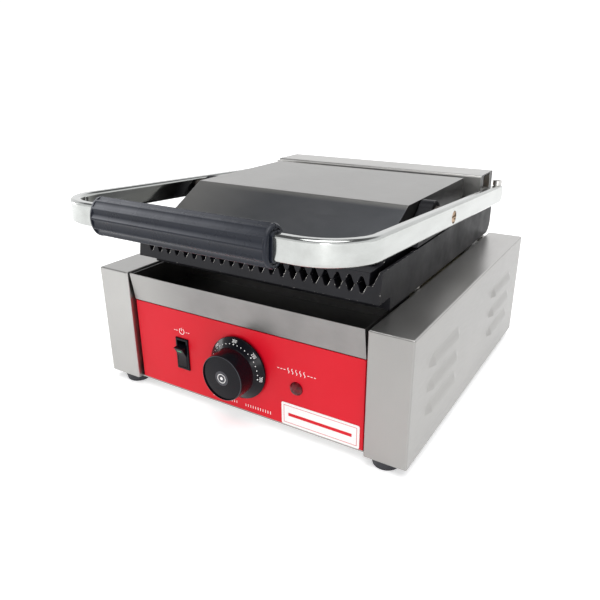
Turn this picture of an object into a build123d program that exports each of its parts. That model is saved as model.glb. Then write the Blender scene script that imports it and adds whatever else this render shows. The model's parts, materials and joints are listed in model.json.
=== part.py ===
from build123d import *

import os
from math import atan, cos, degrees, radians, sin

# Panini press: a single contact grill. A steel base carries a ribbed cast plate, and a ribbed cast
# head hangs from a chromed U-shaped handle that turns about a shaft in the rear tower.
# Millimetres. +Z up, front towards -Y. The origin is on the table, under the middle of the object.

# ---- driving dimensions ----
SHEET = 1.2
FOOT_H = 8.0
FOOT_R = 12.0
BASE_W = 290.0
BASE_D = 284.0
BASE_H = 99.6
BASE_FRONT = -117.0
BASE_REAR = BASE_FRONT + BASE_D
BASE_BOTTOM = FOOT_H
BASE_TOP = BASE_BOTTOM + BASE_H
PILLAR_W = 33.2
PILLAR_IN = BASE_W / 2 - PILLAR_W
BEND_R = 1.4

BAY_HALF = 109.4
PANEL_FRONT = BASE_FRONT + 4.6
PANEL_REAR = PANEL_FRONT + SHEET
PAN_TOP = BASE_BOTTOM + SHEET
PANEL_TOP = BASE_BOTTOM + 74.6
DECK_FRONT = BASE_FRONT + 80.0
DECK_TOP = BASE_BOTTOM + 95.6

SWITCH_X, SWITCH_Z = -59.2, BASE_BOTTOM + 35.9
KNOB_X, KNOB_Z = 0.0, BASE_BOTTOM + 39.85
LAMP_X, LAMP_Z = 53.0, BASE_BOTTOM + 35.7

# lower casting
PLATE_HALF = 111.75
PLATE_FRONT = BASE_FRONT + 16.3
RIBS_REAR = BASE_FRONT + 226.0
LIP_DEPTH = 18.7
SKIRT_BOTTOM = BASE_TOP + 1.4
LIP_BOTTOM = BASE_TOP + 11.4
SIDE_TOP = BASE_TOP + 33.9
SKIRT_T = 6.0
REAR_CORNER_R = 12.0

# ribs of both castings
GROOVES = 22
PITCH = 9.32
RIB_DEPTH = 6.0
CREST_HALF = 1.1
ROOT_HALF = 1.3
ROOT_RISE = 0.8
LOWER_CREST = BASE_TOP + 23.4
CREST_GAP = 0.3
UPPER_CREST = LOWER_CREST + CREST_GAP

# head
HEAD_HALF = 104.0
HEAD_FRONT = BASE_FRONT + 17.0
HEAD_REAR = BASE_FRONT + 218.0
SLAB_TOP = UPPER_CREST + 9.7
RIM_TOP = SLAB_TOP + 10.0
RIM_T = 6.0
COVER_HALF = 100.7
COVER_TOP = BASE_TOP + 64.7
COVER_BREAK = BASE_FRONT + 87.0
COVER_FRONT = BASE_FRONT + 31.0
COVER_SLOPE = 0.532
COVER_BOTTOM = RIM_TOP + 0.2
PIVOT_Y, PIVOT_Z = BASE_FRONT + 114.0, BASE_TOP + 53.4
LUG_OUT = 112.0

# tower and handle
SHAFT_Y, SHAFT_Z = BASE_FRONT + 250.0, BASE_TOP + 46.4
SHAFT_R = 6.0
RUNNING = 0.05
TOWER_FRONT = BASE_FRONT + 234.0
TOWER_REAR = BASE_FRONT + 272.0
TOWER_TOP = BASE_TOP + 64.9
TOWER_HALF = 112.0
BRACKET_X = 98.0
BRACKET_T = 3.0
ARM_OUT = 127.0
ARM_T = 8.0
ARM_IN = ARM_OUT - ARM_T
BAR_H = 16.8
BAR_EDGE_R = 2.4
BAR_CORNER_R = 36.0
HANDLE_SLOPE = 0.0588
HANDLE_REACH = 300.5
GRIP_DEEP = 10.4
GRIP_TALL = 13.9
GRIP_LENGTH = 148.0
GRIP_MIDDLE = 0.0
GRIP_SHOULDER = 1.6
GRIP_FLUTES = 12
FLUTE_SIZE = 0.407
FLUTE_OUT = 1.314
GRIP_COLLAR = 2.4
GRIP_SEAM = 0.5
MOUTH_LIP = 1.2
MOUTH_LIP_R = 3.4
MOUTH_GROOVE = 2.4
MOUTH_GROOVE_R = 5.0
GRIP_SCREW_R = 2.0
GRIP_SCREWS = (GRIP_MIDDLE - 45.0, GRIP_MIDDLE + 45.0)
SHAFT_END = 124.0
PIN_R = 4.0

# drip tray
TRAY_T = 1.0
TRAY_BOTTOM = PANEL_TOP + 0.8
TRAY_REAR = BASE_FRONT + 77.0
TRAY_WALL_TOP = BASE_TOP - 0.9
TRAY_LIP_TOP = BASE_TOP - 0.2
TRAY_LIP_Y = BASE_FRONT + 0.8

os.makedirs("parts", exist_ok=True)


# ---- shapes used by many parts ----
def block(x0, x1, y0, y1, z0, z1, mode=Mode.ADD):
    """A box between two corners."""
    with Locations(((x0 + x1) / 2, (y0 + y1) / 2, (z0 + z1) / 2)):
        Box(x1 - x0, y1 - y0, z1 - z0, mode=mode)


def rod_x(radius, x0, x1, y, z, mode=Mode.ADD):
    """A round bar along X."""
    with Locations(((x0 + x1) / 2, y, z)):
        Cylinder(radius, x1 - x0, rotation=(0, 90, 0), mode=mode)


def rod_y(radius, x, y0, y1, z, mode=Mode.ADD):
    """A round bar along Y."""
    with Locations((x, (y0 + y1) / 2, z)):
        Cylinder(radius, y1 - y0, rotation=(90, 0, 0), mode=mode)


def rod_z(radius, x, y, z0, z1, mode=Mode.ADD):
    """A round bar along Z."""
    with Locations((x, y, (z0 + z1) / 2)):
        Cylinder(radius, z1 - z0, mode=mode)


def side_prism(points, half_width, mode=Mode.ADD):
    """A side profile of (y, z) points, as wide as half_width each side of the middle."""
    with BuildSketch(Plane.YZ) as profile:
        with BuildLine():
            Polyline(*points, close=True)
        make_face()
    extrude(profile.sketch, amount=half_width, both=True, mode=mode)


def pan_screw(x, y, z, shank, head_r=4.0, shank_r=2.0):
    """A cross-slotted pan-head screw on a rear face: its head stands out towards +Y."""
    rod_y(shank_r, x, y - shank, y, z)
    rod_y(head_r, x, y, y + 2.2, z)
    with Locations((x, y + 2.2, z)):
        Box(head_r * 1.2, 1.4, 0.9, mode=Mode.SUBTRACT)
        Box(0.9, 1.4, head_r * 1.2, mode=Mode.SUBTRACT)


def ribs(crest, root):
    """The zigzag edge of a ribbed casting, from left to right, in the current BuildLine."""
    rise = ROOT_RISE if crest > root else -ROOT_RISE
    left = -GROOVES / 2 * PITCH
    for i in range(GROOVES):
        middle = left + (i + 0.5) * PITCH
        start = (middle - PITCH / 2 + CREST_HALF, crest)
        end = (middle + PITCH / 2 - CREST_HALF, crest)
        into = (middle - ROOT_HALF, root + rise)
        out = (middle + ROOT_HALF, root + rise)
        Line(start, into)
        ThreePointArc(into, (middle, root), out)
        Line(out, end)
        if i < GROOVES - 1:
            Line(end, (end[0] + 2 * CREST_HALF, crest))


RIBS_HALF = GROOVES / 2 * PITCH - CREST_HALF


# ======== base ========
with BuildPart() as base_pan:
    inner = BASE_W / 2 - SHEET
    block(-inner, inner, BASE_FRONT + SHEET, BASE_REAR - SHEET, BASE_BOTTOM, PAN_TOP)
    block(-PILLAR_IN, PILLAR_IN, BASE_FRONT, PANEL_FRONT, BASE_BOTTOM, PAN_TOP, Mode.SUBTRACT)
    block(-BAY_HALF + 3, BAY_HALF - 3, PANEL_REAR + 0.1, PANEL_REAR + 0.1 + SHEET, PAN_TOP, PAN_TOP + 9)
    rear_lip = BASE_REAR - 2 * SHEET
    block(-BAY_HALF, BAY_HALF, rear_lip - SHEET, rear_lip, PAN_TOP, PAN_TOP + 9)
    foot_places = [(x, y) for x in (-125, 125) for y in (BASE_FRONT + 12.5, BASE_REAR - 12.5)]
    for x, y in foot_places:
        rod_z(2.5, x, y, BASE_BOTTOM - 1, PAN_TOP + 1, Mode.SUBTRACT)
    with BuildSketch(Plane.XY.offset(BASE_BOTTOM)) as vents:
        with GridLocations(44, 12, 4, 10):
            SlotOverall(34, 4)
    extrude(vents.sketch, amount=SHEET, mode=Mode.SUBTRACT)
base_pan.part.label = "base_pan"
export_step(base_pan.part, "parts/base_pan.step")

LOUVRE_LENGTH = 67.0
LOUVRE_H = 9.0
LOUVRE_OUT = 2.6
LOUVRE_SKIN = 0.9
LOUVRE_TAPER = 40.0
LOUVRE_COLUMNS = (BASE_FRONT + 63.5, BASE_FRONT + 217.5)
LOUVRE_ROWS = (BASE_BOTTOM + 28.5, BASE_BOTTOM + 47.5, BASE_BOTTOM + 66.5)
louvre_places = [(y, z) for y in LOUVRE_COLUMNS for z in LOUVRE_ROWS]

with BuildPart() as side_housing_right:
    outer = BASE_W / 2
    block(PILLAR_IN, outer, BASE_FRONT, BASE_REAR, BASE_BOTTOM, BASE_TOP)
    upright = side_housing_right.edges().filter_by(Axis.Z)
    top_rim = side_housing_right.faces().sort_by(Axis.Z)[-1].edges()
    fillet(upright + top_rim, BEND_R)
    with BuildSketch(Plane.YZ.offset(outer)) as hoods:
        with Locations(*louvre_places):
            SlotOverall(LOUVRE_LENGTH, 2 * LOUVRE_H)
    extrude(hoods.sketch, amount=LOUVRE_OUT, taper=LOUVRE_TAPER)
    with BuildSketch(Plane.YZ.offset(outer - SHEET)) as throats:
        with Locations(*louvre_places):
            SlotOverall(LOUVRE_LENGTH - 2 * LOUVRE_SKIN, 2 * (LOUVRE_H - LOUVRE_SKIN))
    extrude(throats.sketch, amount=SHEET, mode=Mode.SUBTRACT)
    with BuildSketch(Plane.YZ.offset(outer)) as hollows:
        with Locations(*louvre_places):
            SlotOverall(LOUVRE_LENGTH - 2 * LOUVRE_SKIN, 2 * (LOUVRE_H - LOUVRE_SKIN))
    extrude(hollows.sketch, amount=LOUVRE_OUT - LOUVRE_SKIN, taper=LOUVRE_TAPER, mode=Mode.SUBTRACT)
    half = LOUVRE_LENGTH / 2 + 1
    for y, z in louvre_places:
        block(outer, outer + LOUVRE_OUT + 1, y - half, y + half, z - LOUVRE_H - 1, z, Mode.SUBTRACT)
        with BuildSketch(Plane.YZ.offset(outer - SHEET)) as sill:
            with Locations((y, z - LOUVRE_H / 2)):
                Rectangle(LOUVRE_LENGTH - 2 * LOUVRE_SKIN, LOUVRE_H)
        extrude(sill.sketch, amount=SHEET)
    block(PILLAR_IN + SHEET, outer - SHEET, BASE_FRONT + SHEET, BASE_REAR - SHEET,
          BASE_BOTTOM, BASE_TOP - SHEET, Mode.SUBTRACT)
    block(PILLAR_IN - 1, PILLAR_IN + SHEET + 1, BASE_FRONT + SHEET, BASE_REAR - SHEET,
          BASE_BOTTOM - 1, PAN_TOP, Mode.SUBTRACT)
side_housing_right.part.label = "side_housing_right"
export_step(side_housing_right.part, "parts/side_housing_right.step")

with BuildPart() as side_housing_left:
    mirror(side_housing_right.part, about=Plane.YZ)
side_housing_left.part.label = "side_housing_left"
export_step(side_housing_left.part, "parts/side_housing_left.step")

# ---- control panel and what it carries ----
with BuildPart() as control_panel:
    block(-BAY_HALF, BAY_HALF, PANEL_FRONT, PANEL_REAR, PAN_TOP, PANEL_TOP)
    fillet(control_panel.faces().sort_by(Axis.Y)[0].edges().filter_by(Axis.Z), 0.8)
    block(-BAY_HALF, BAY_HALF, PANEL_REAR, PANEL_FRONT + 10, PANEL_TOP - SHEET, PANEL_TOP)
    for edge in (-BAY_HALF, BAY_HALF - SHEET):
        block(edge, edge + SHEET, PANEL_REAR, PANEL_FRONT + 10, PAN_TOP + 10, PANEL_TOP - SHEET)
    block(SWITCH_X - 5.5, SWITCH_X + 5.5, PANEL_FRONT, PANEL_REAR, SWITCH_Z - 13, SWITCH_Z + 13,
          Mode.SUBTRACT)
    rod_y(5.0, LAMP_X, PANEL_FRONT, PANEL_REAR, LAMP_Z, Mode.SUBTRACT)
    rod_y(5.0, KNOB_X, PANEL_FRONT, PANEL_REAR, KNOB_Z, Mode.SUBTRACT)
control_panel.part.label = "control_panel"
export_step(control_panel.part, "parts/control_panel.step")

LABEL_T = 0.4
with BuildPart() as blank_label:
    block(39.5, 106.5, PANEL_FRONT - LABEL_T, PANEL_FRONT, PAN_TOP + 0.4, BASE_BOTTOM + 21)
    fillet(blank_label.edges().filter_by(Axis.Y), 1.5)
blank_label.part.label = "blank_label"
export_step(blank_label.part, "parts/blank_label.step")

ROCKER_Y = PANEL_FRONT + 5.54
ROCKER_HALF_W = 4.6
ROCKER_TILT = 14.0
ROCKER_PIN_R = 1.2
BEZEL_T = 1.6
with BuildPart() as switch_housing:
    block(SWITCH_X - 6.6, SWITCH_X + 6.6, PANEL_FRONT - BEZEL_T, PANEL_FRONT, SWITCH_Z - 14.3,
          SWITCH_Z + 14.3)
    fillet(switch_housing.faces().sort_by(Axis.Y)[0].edges(), 0.7)
    block(SWITCH_X - 5.5, SWITCH_X + 5.5, PANEL_FRONT, PANEL_FRONT + 21, SWITCH_Z - 13, SWITCH_Z + 13)
    block(SWITCH_X - 4.9, SWITCH_X + 4.9, PANEL_FRONT - BEZEL_T - 1, PANEL_FRONT + 15,
          SWITCH_Z - 12.4, SWITCH_Z + 12.4, Mode.SUBTRACT)
    rod_x(ROCKER_PIN_R + RUNNING, SWITCH_X - 5.3, SWITCH_X + 5.3, ROCKER_Y, SWITCH_Z, Mode.SUBTRACT)
switch_housing.part.label = "switch_housing"
export_step(switch_housing.part, "parts/switch_housing.step")

with BuildPart() as switch_terminals:
    for drop in (-8.0, 0.0, 8.0):
        block(SWITCH_X - 3.1, SWITCH_X + 3.1, PANEL_FRONT + 21, PANEL_FRONT + 30, SWITCH_Z + drop - 0.4,
              SWITCH_Z + drop + 0.4)
        rod_z(0.8, SWITCH_X, PANEL_FRONT + 27, SWITCH_Z + drop - 1, SWITCH_Z + drop + 1, Mode.SUBTRACT)
switch_terminals.part.label = "switch_terminals"
export_step(switch_terminals.part, "parts/switch_terminals.step")

# The rocker is a shallow V in its middle position. It rests tipped, with its upper end out.
rocker_outline = [(-7.56, 0), (-10, 9.8), (-2, 9.4), (4, 5), (4, -5), (-2, -9.4), (-10, -9.8)]
with BuildPart() as rocker:
    with BuildSketch(Plane.YZ.offset(SWITCH_X)) as rocker_profile:
        with Locations(Location((ROCKER_Y, SWITCH_Z), ROCKER_TILT)):
            Polygon(*rocker_outline, align=None)
    extrude(rocker_profile.sketch, amount=ROCKER_HALF_W, both=True)
    fillet(rocker.edges().filter_by(Axis.X).group_by(Axis.Y)[0], 0.5)
    rod_x(ROCKER_PIN_R, SWITCH_X - 5.2, SWITCH_X + 5.2, ROCKER_Y, SWITCH_Z)
rocker.part.label = "rocker"
export_step(rocker.part, "parts/rocker.step")

with BuildPart() as lamp_body:
    rod_y(4.9, LAMP_X, PANEL_FRONT, PANEL_FRONT + 20, LAMP_Z)
    rod_y(3.6, LAMP_X, PANEL_FRONT, PANEL_FRONT + 14, LAMP_Z, Mode.SUBTRACT)
lamp_body.part.label = "lamp_body"
export_step(lamp_body.part, "parts/lamp_body.step")

with BuildPart() as lamp_lens:
    with BuildSketch(Plane.XY) as lens_half:
        with BuildLine():
            Polyline((0, 0.6), (0, -3.0), (1.8, -3.0))
            ThreePointArc((1.8, -3.0), (4.6, -1.9), (5.6, 0))
            Polyline((5.6, 0), (3.5, 0), (3.5, 0.6), (0, 0.6))
        make_face()
    lens_place = Plane(origin=(LAMP_X, PANEL_FRONT, LAMP_Z), x_dir=(1, 0, 0), z_dir=(0, 0, 1))
    revolve(lens_place * lens_half.sketch, axis=Axis((LAMP_X, 0, LAMP_Z), (0, 1, 0)))
lamp_lens.part.label = "lamp_lens"
export_step(lamp_lens.part, "parts/lamp_lens.step")

with BuildPart() as neon_lamp:
    rod_y(2.4, LAMP_X, PANEL_FRONT + 1.2, PANEL_FRONT + 13.9, LAMP_Z)
    fillet(neon_lamp.faces().sort_by(Axis.Y)[0].edges(), 2.0)
neon_lamp.part.label = "neon_lamp"
export_step(neon_lamp.part, "parts/neon_lamp.step")

with BuildPart() as lamp_nut:
    with BuildSketch(Plane.XZ.offset(-PANEL_REAR)) as nut_face:
        with Locations((LAMP_X, LAMP_Z)):
            RegularPolygon(7.5, 6)
            Circle(4.9, mode=Mode.SUBTRACT)
    extrude(nut_face.sketch, amount=-3)
lamp_nut.part.label = "lamp_nut"
export_step(lamp_nut.part, "parts/lamp_nut.step")

# ---- thermostat, its spindle and the knob with its numbered skirt ----
SPINDLE_R = 3.0
SPINDLE_END = PANEL_FRONT - 16.0
DIAL_BACK = PANEL_FRONT - 1.0
knob_outline = [(0, -23.0), (18.2, -23.0), (18.8, -22.4), (19.5, -8.6), (26.2, -3.2), (26.4, -2.8),
                (26.4, -1.6), (23, -1.0), (0, -1.0)]
with BuildPart() as knob:
    with BuildSketch(Plane.XY) as knob_half:
        with BuildLine():
            Polyline(*knob_outline, close=True)
        make_face()
    knob_place = Plane(origin=(KNOB_X, PANEL_FRONT, KNOB_Z), x_dir=(1, 0, 0), z_dir=(0, 0, 1))
    revolve(knob_place * knob_half.sketch, axis=Axis((KNOB_X, 0, KNOB_Z), (0, 1, 0)))
    rod_y(SPINDLE_R, KNOB_X, SPINDLE_END, DIAL_BACK, KNOB_Z, Mode.SUBTRACT)
knob.part.label = "knob"
export_step(knob.part, "parts/knob.step")

with BuildPart() as knob_spindle:
    rod_y(SPINDLE_R, KNOB_X, SPINDLE_END, PANEL_REAR + 10, KNOB_Z)
knob_spindle.part.label = "knob_spindle"
export_step(knob_spindle.part, "parts/knob_spindle.step")

THERMO_TOP = KNOB_Z + 19.3
with BuildPart() as thermostat_body:
    block(KNOB_X - 21, KNOB_X + 21, PANEL_REAR, PANEL_REAR + 1.5, KNOB_Z - 9, KNOB_Z + 9)
    block(KNOB_X - 14, KNOB_X + 14, PANEL_REAR + 1.5, PANEL_REAR + 31, KNOB_Z - 17, THERMO_TOP)
    fillet(thermostat_body.edges().filter_by(Axis.Y).group_by(SortBy.LENGTH)[-1], 2)
    rod_y(SPINDLE_R + RUNNING, KNOB_X, PANEL_REAR - 1, PANEL_REAR + 11, KNOB_Z, Mode.SUBTRACT)
thermostat_body.part.label = "thermostat_body"
export_step(thermostat_body.part, "parts/thermostat_body.step")

# The capillary rises from the thermostat, runs back under the tray and up to the plate.
SENSOR_Z = LIP_BOTTOM - 3.3
CAPILLARY_Y = PANEL_REAR + 18
CAPILLARY_TURN = DECK_FRONT + 20
with BuildPart() as thermostat_sensor:
    with BuildLine() as capillary_path:
        FilletPolyline((KNOB_X, CAPILLARY_Y, THERMO_TOP), (KNOB_X, CAPILLARY_Y, THERMO_TOP + 9.5),
                       (KNOB_X, CAPILLARY_TURN, THERMO_TOP + 9.5), (KNOB_X, CAPILLARY_TURN, SENSOR_Z),
                       (KNOB_X, CAPILLARY_TURN + 16, SENSOR_Z), radius=7)
    with BuildSketch(Plane.XY.offset(THERMO_TOP)) as capillary_section:
        with Locations((KNOB_X, CAPILLARY_Y)):
            Circle(1.0)
    sweep(capillary_section.sketch, path=capillary_path.line)
    rod_y(3.0, KNOB_X, CAPILLARY_TURN + 15, CAPILLARY_TURN + 85, SENSOR_Z)
thermostat_sensor.part.label = "thermostat_sensor"
export_step(thermostat_sensor.part, "parts/thermostat_sensor.step")

# ---- deck, rear panel and wiring pieces inside the base ----
BRACKET_SLOT = (BRACKET_X - 1, BRACKET_X + BRACKET_T + 1)
LEAD_HOLE_R = 3.8
LEAD_X, LEAD_Y = 70.0, TOWER_FRONT + 20
with BuildPart() as base_deck:
    half = PILLAR_IN - 0.1
    block(-half, half, DECK_FRONT, BASE_REAR - SHEET, DECK_TOP - SHEET, DECK_TOP)
    block(-BAY_HALF, BAY_HALF, DECK_FRONT, DECK_FRONT + SHEET, DECK_TOP - 40, DECK_TOP - SHEET)
    rod_z(2.5, KNOB_X, CAPILLARY_TURN, DECK_TOP - 2, DECK_TOP + 1, Mode.SUBTRACT)
    rod_z(LEAD_HOLE_R, LEAD_X, LEAD_Y, DECK_TOP - 2, DECK_TOP + 1, Mode.SUBTRACT)
    block(KNOB_X - 4, KNOB_X + 4, DECK_FRONT - 1, DECK_FRONT + 2, DECK_TOP - 41, THERMO_TOP + 13,
          Mode.SUBTRACT)
base_deck.part.label = "base_deck"
export_step(base_deck.part, "parts/base_deck.step")

GLAND_X, GLAND_Z = 70.0, BASE_BOTTOM + 27
EARTH_X, EARTH_Z = -80.0, BASE_BOTTOM + 27
REAR_SCREWS = [(x, z) for x in (-104, 0, 104) for z in (BASE_BOTTOM + 14, BASE_BOTTOM + 84)]
with BuildPart() as rear_panel:
    block(-PILLAR_IN + 0.1, PILLAR_IN - 0.1, BASE_REAR - SHEET, BASE_REAR, PAN_TOP, DECK_TOP - SHEET)
    with BuildSketch(Plane.XZ.offset(-BASE_REAR)) as rear_vents:
        with Locations((0, BASE_BOTTOM + 62)):
            with GridLocations(52, 9, 3, 4):
                SlotOverall(40, 3.6)
    extrude(rear_vents.sketch, amount=SHEET, mode=Mode.SUBTRACT)
    rod_y(8.0, GLAND_X, BASE_REAR - SHEET, BASE_REAR, GLAND_Z, Mode.SUBTRACT)
    rod_y(2.5, EARTH_X, BASE_REAR - SHEET, BASE_REAR, EARTH_Z, Mode.SUBTRACT)
    for x, z in REAR_SCREWS:
        rod_y(2.0, x, BASE_REAR - SHEET, BASE_REAR, z, Mode.SUBTRACT)
rear_panel.part.label = "rear_panel"
export_step(rear_panel.part, "parts/rear_panel.step")

with BuildPart() as rear_screws:
    for x, z in REAR_SCREWS:
        pan_screw(x, BASE_REAR, z, 1.2)
rear_screws.part.label = "rear_screws"
export_step(rear_screws.part, "parts/rear_screws.step")

GLAND_BORE = 4.0
GLAND_END = BASE_REAR + 14.0
with BuildPart() as mains_gland:
    with BuildSketch(Plane.XZ.offset(-BASE_REAR)) as gland_hex:
        with Locations((GLAND_X, GLAND_Z)):
            RegularPolygon(11.5, 6)
    extrude(gland_hex.sketch, amount=-5)
    rod_y(9.5, GLAND_X, BASE_REAR + 5, GLAND_END, GLAND_Z)
    fillet(mains_gland.faces().sort_by(Axis.Y)[-1].edges(), 3.5)
    rod_y(8.0, GLAND_X, BASE_REAR - 10, BASE_REAR, GLAND_Z)
    rod_y(GLAND_BORE, GLAND_X, BASE_REAR - 11, GLAND_END + 1, GLAND_Z, Mode.SUBTRACT)
mains_gland.part.label = "mains_gland"
export_step(mains_gland.part, "parts/mains_gland.step")

with BuildPart() as gland_nut:
    with BuildSketch(Plane.XZ.offset(-BASE_REAR + SHEET)) as gland_nut_face:
        with Locations((GLAND_X, GLAND_Z)):
            RegularPolygon(12, 6)
            Circle(8.0, mode=Mode.SUBTRACT)
    extrude(gland_nut_face.sketch, amount=4)
gland_nut.part.label = "gland_nut"
export_step(gland_nut.part, "parts/gland_nut.step")

with BuildPart() as earth_stud:
    rod_y(2.5, EARTH_X, BASE_REAR - 8, BASE_REAR + 10, EARTH_Z)
    with BuildSketch(Plane.XZ.offset(-BASE_REAR)) as stud_nut:
        with Locations((EARTH_X, EARTH_Z)):
            RegularPolygon(4.6, 6)
    extrude(stud_nut.sketch, amount=-4)
    rod_y(6.0, EARTH_X, BASE_REAR - SHEET - 1.5, BASE_REAR - SHEET, EARTH_Z)
earth_stud.part.label = "earth_stud"
export_step(earth_stud.part, "parts/earth_stud.step")

with BuildPart() as terminal_block:
    block(20, 56, 112, 132, PAN_TOP, PAN_TOP + 16)
    for x in (26, 38, 50):
        rod_z(2.6, x, 122, PAN_TOP + 12, PAN_TOP + 17, Mode.SUBTRACT)
        rod_y(2.2, x, 111, 133, PAN_TOP + 6, Mode.SUBTRACT)
terminal_block.part.label = "terminal_block"
export_step(terminal_block.part, "parts/terminal_block.step")

# ---- feet ----
with BuildPart() as feet:
    for x, y in foot_places:
        with Locations((x, y, 0)):
            Cone(FOOT_R - 2, FOOT_R, FOOT_H, align=(Align.CENTER, Align.CENTER, Align.MIN))
    fillet(feet.faces().group_by(Axis.Z)[0].edges(), 1.2)
    for x, y in foot_places:
        rod_z(2.5, x, y, 3, FOOT_H, Mode.SUBTRACT)
        rod_z(5.0, x, y, -1, 3, Mode.SUBTRACT)
feet.part.label = "feet"
export_step(feet.part, "parts/feet.step")

with BuildPart() as foot_screws:
    for x, y in foot_places:
        rod_z(2.4, x, y, 3, PAN_TOP + 4)
        rod_z(4.4, x, y, 0.8, 3)
foot_screws.part.label = "foot_screws"
export_step(foot_screws.part, "parts/foot_screws.step")

# ======== lower cooking plate and its heater ========
WALL_TOP_IN = 109.6
WALL_FOOT_IN = 105.2
FRONT_LEAN = 4.0
BAY_IN = PLATE_HALF - SKIRT_T
with BuildPart() as lower_grill_plate:
    with BuildSketch(Plane.XZ.offset(-PLATE_FRONT)) as lower_section:
        with BuildLine():
            ribs(LOWER_CREST, LOWER_CREST - RIB_DEPTH)
            Polyline((RIBS_HALF, LOWER_CREST), (WALL_FOOT_IN, LOWER_CREST), (WALL_TOP_IN, SIDE_TOP),
                     (PLATE_HALF, SIDE_TOP), (PLATE_HALF, LIP_BOTTOM), (-PLATE_HALF, LIP_BOTTOM),
                     (-PLATE_HALF, SIDE_TOP), (-WALL_TOP_IN, SIDE_TOP), (-WALL_FOOT_IN, LOWER_CREST),
                     (-RIBS_HALF, LOWER_CREST))
        make_face()
    extrude(lower_section.sketch, amount=-(RIBS_REAR - PLATE_FRONT))
    with BuildSketch(Plane.YZ) as front_draft:
        with BuildLine():
            Polyline((PLATE_FRONT, LIP_BOTTOM), (PLATE_FRONT + FRONT_LEAN, SIDE_TOP),
                     (PLATE_FRONT, SIDE_TOP), close=True)
        make_face()
    extrude(front_draft.sketch, amount=PLATE_HALF + 1, both=True, mode=Mode.SUBTRACT)
    skirt_front = PLATE_FRONT + LIP_DEPTH
    block(-PLATE_HALF, PLATE_HALF, skirt_front, BASE_REAR, SKIRT_BOTTOM, LIP_BOTTOM)
    block(-PLATE_HALF, PLATE_HALF, RIBS_REAR, BASE_REAR, LIP_BOTTOM, SIDE_TOP)
    block(-BAY_IN, BAY_IN, RIBS_REAR, BASE_REAR - SKIRT_T, LIP_BOTTOM, SIDE_TOP, Mode.SUBTRACT)
    block(-BAY_IN, BAY_IN, skirt_front + SKIRT_T, BASE_REAR - SKIRT_T, SKIRT_BOTTOM, LIP_BOTTOM,
          Mode.SUBTRACT)
    block(-BAY_IN, BAY_IN, RIBS_REAR - 4, BASE_REAR - SKIRT_T, LIP_BOTTOM - 4, LIP_BOTTOM)
    for side in (-1, 1):
        near, far = sorted((side * BRACKET_SLOT[0], side * BRACKET_SLOT[1]))
        block(near, far, RIBS_REAR + 4, BASE_REAR - SKIRT_T, LIP_BOTTOM - 5, LIP_BOTTOM + 1,
              Mode.SUBTRACT)
    rod_z(LEAD_HOLE_R, LEAD_X, LEAD_Y, LIP_BOTTOM - 5, LIP_BOTTOM + 1, Mode.SUBTRACT)
    with BuildSketch(Plane.YZ) as rear_corner:
        with Locations((BASE_REAR - REAR_CORNER_R, SKIRT_BOTTOM + REAR_CORNER_R)):
            Rectangle(2 * REAR_CORNER_R, 2 * REAR_CORNER_R, align=(Align.MIN, Align.MAX))
            Circle(REAR_CORNER_R, mode=Mode.SUBTRACT)
    extrude(rear_corner.sketch, amount=PLATE_HALF + 1, both=True, mode=Mode.SUBTRACT)
lower_grill_plate.part.label = "lower_grill_plate"
export_step(lower_grill_plate.part, "parts/lower_grill_plate.step")

# Each heating tube is a flat serpentine of straight runs joined by half turns.
TUBE_R = 3.25
HEATER_RUNS = (-90, -54, -18, 18, 54, 90)


def heater_path(z, front, rear, tail):
    """Points of a six-run serpentine; both tails stand out beyond the rear turns."""
    points = []
    for i, x in enumerate(HEATER_RUNS):
        first, second = (rear, front) if i % 2 == 0 else (front, rear)
        points += [(x, first, z), (x, second, z)]
    points[0] = (HEATER_RUNS[0], tail, z)
    points[-1] = (HEATER_RUNS[-1], tail, z)
    return points


def heater(z, front, rear, tail):
    """Sweeps the tube and adds a thinner terminal pin at each tail, in the current BuildPart."""
    with BuildLine() as path:
        FilletPolyline(*heater_path(z, front, rear, tail), radius=17)
    with BuildSketch(Plane(origin=(HEATER_RUNS[0], tail, z), z_dir=(0, -1, 0))) as section:
        Circle(TUBE_R)
    sweep(section.sketch, path=path.line)
    for x in (HEATER_RUNS[0], HEATER_RUNS[-1]):
        rod_y(1.4, x, tail, tail + 8, z)


LOWER_TUBE_Z = LIP_BOTTOM - TUBE_R - 0.05
with BuildPart() as lower_heater:
    heater(LOWER_TUBE_Z, -70, 88, 95)
lower_heater.part.label = "lower_heater"
export_step(lower_heater.part, "parts/lower_heater.step")

STUD_PLACES = [(x, y) for x in (-36, 36) for y in (-45, 60)]
with BuildPart() as lower_heater_clamps:
    clamp_z = LOWER_TUBE_Z - TUBE_R
    for y in (-45, 60):
        block(-98, 98, y - 6, y + 6, clamp_z - 1.6, clamp_z)
    for x, y in STUD_PLACES:
        rod_z(2.1, x, y, clamp_z - 2, clamp_z + 1, Mode.SUBTRACT)
lower_heater_clamps.part.label = "lower_heater_clamps"
export_step(lower_heater_clamps.part, "parts/lower_heater_clamps.step")

SHIELD_TOP = SKIRT_BOTTOM + 1.0
with BuildPart() as clamp_studs:
    for x, y in STUD_PLACES:
        rod_z(2.0, x, y, SHIELD_TOP, LIP_BOTTOM)
clamp_studs.part.label = "clamp_studs"
export_step(clamp_studs.part, "parts/clamp_studs.step")

with BuildPart() as heat_shield:
    block(-BAY_IN + 0.3, BAY_IN - 0.3, skirt_front + SKIRT_T + 0.3, RIBS_REAR, SHIELD_TOP - 0.8, SHIELD_TOP)
    rod_z(2.5, KNOB_X, CAPILLARY_TURN, SHIELD_TOP - 2, SHIELD_TOP + 1, Mode.SUBTRACT)
heat_shield.part.label = "heat_shield"
export_step(heat_shield.part, "parts/heat_shield.step")

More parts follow.
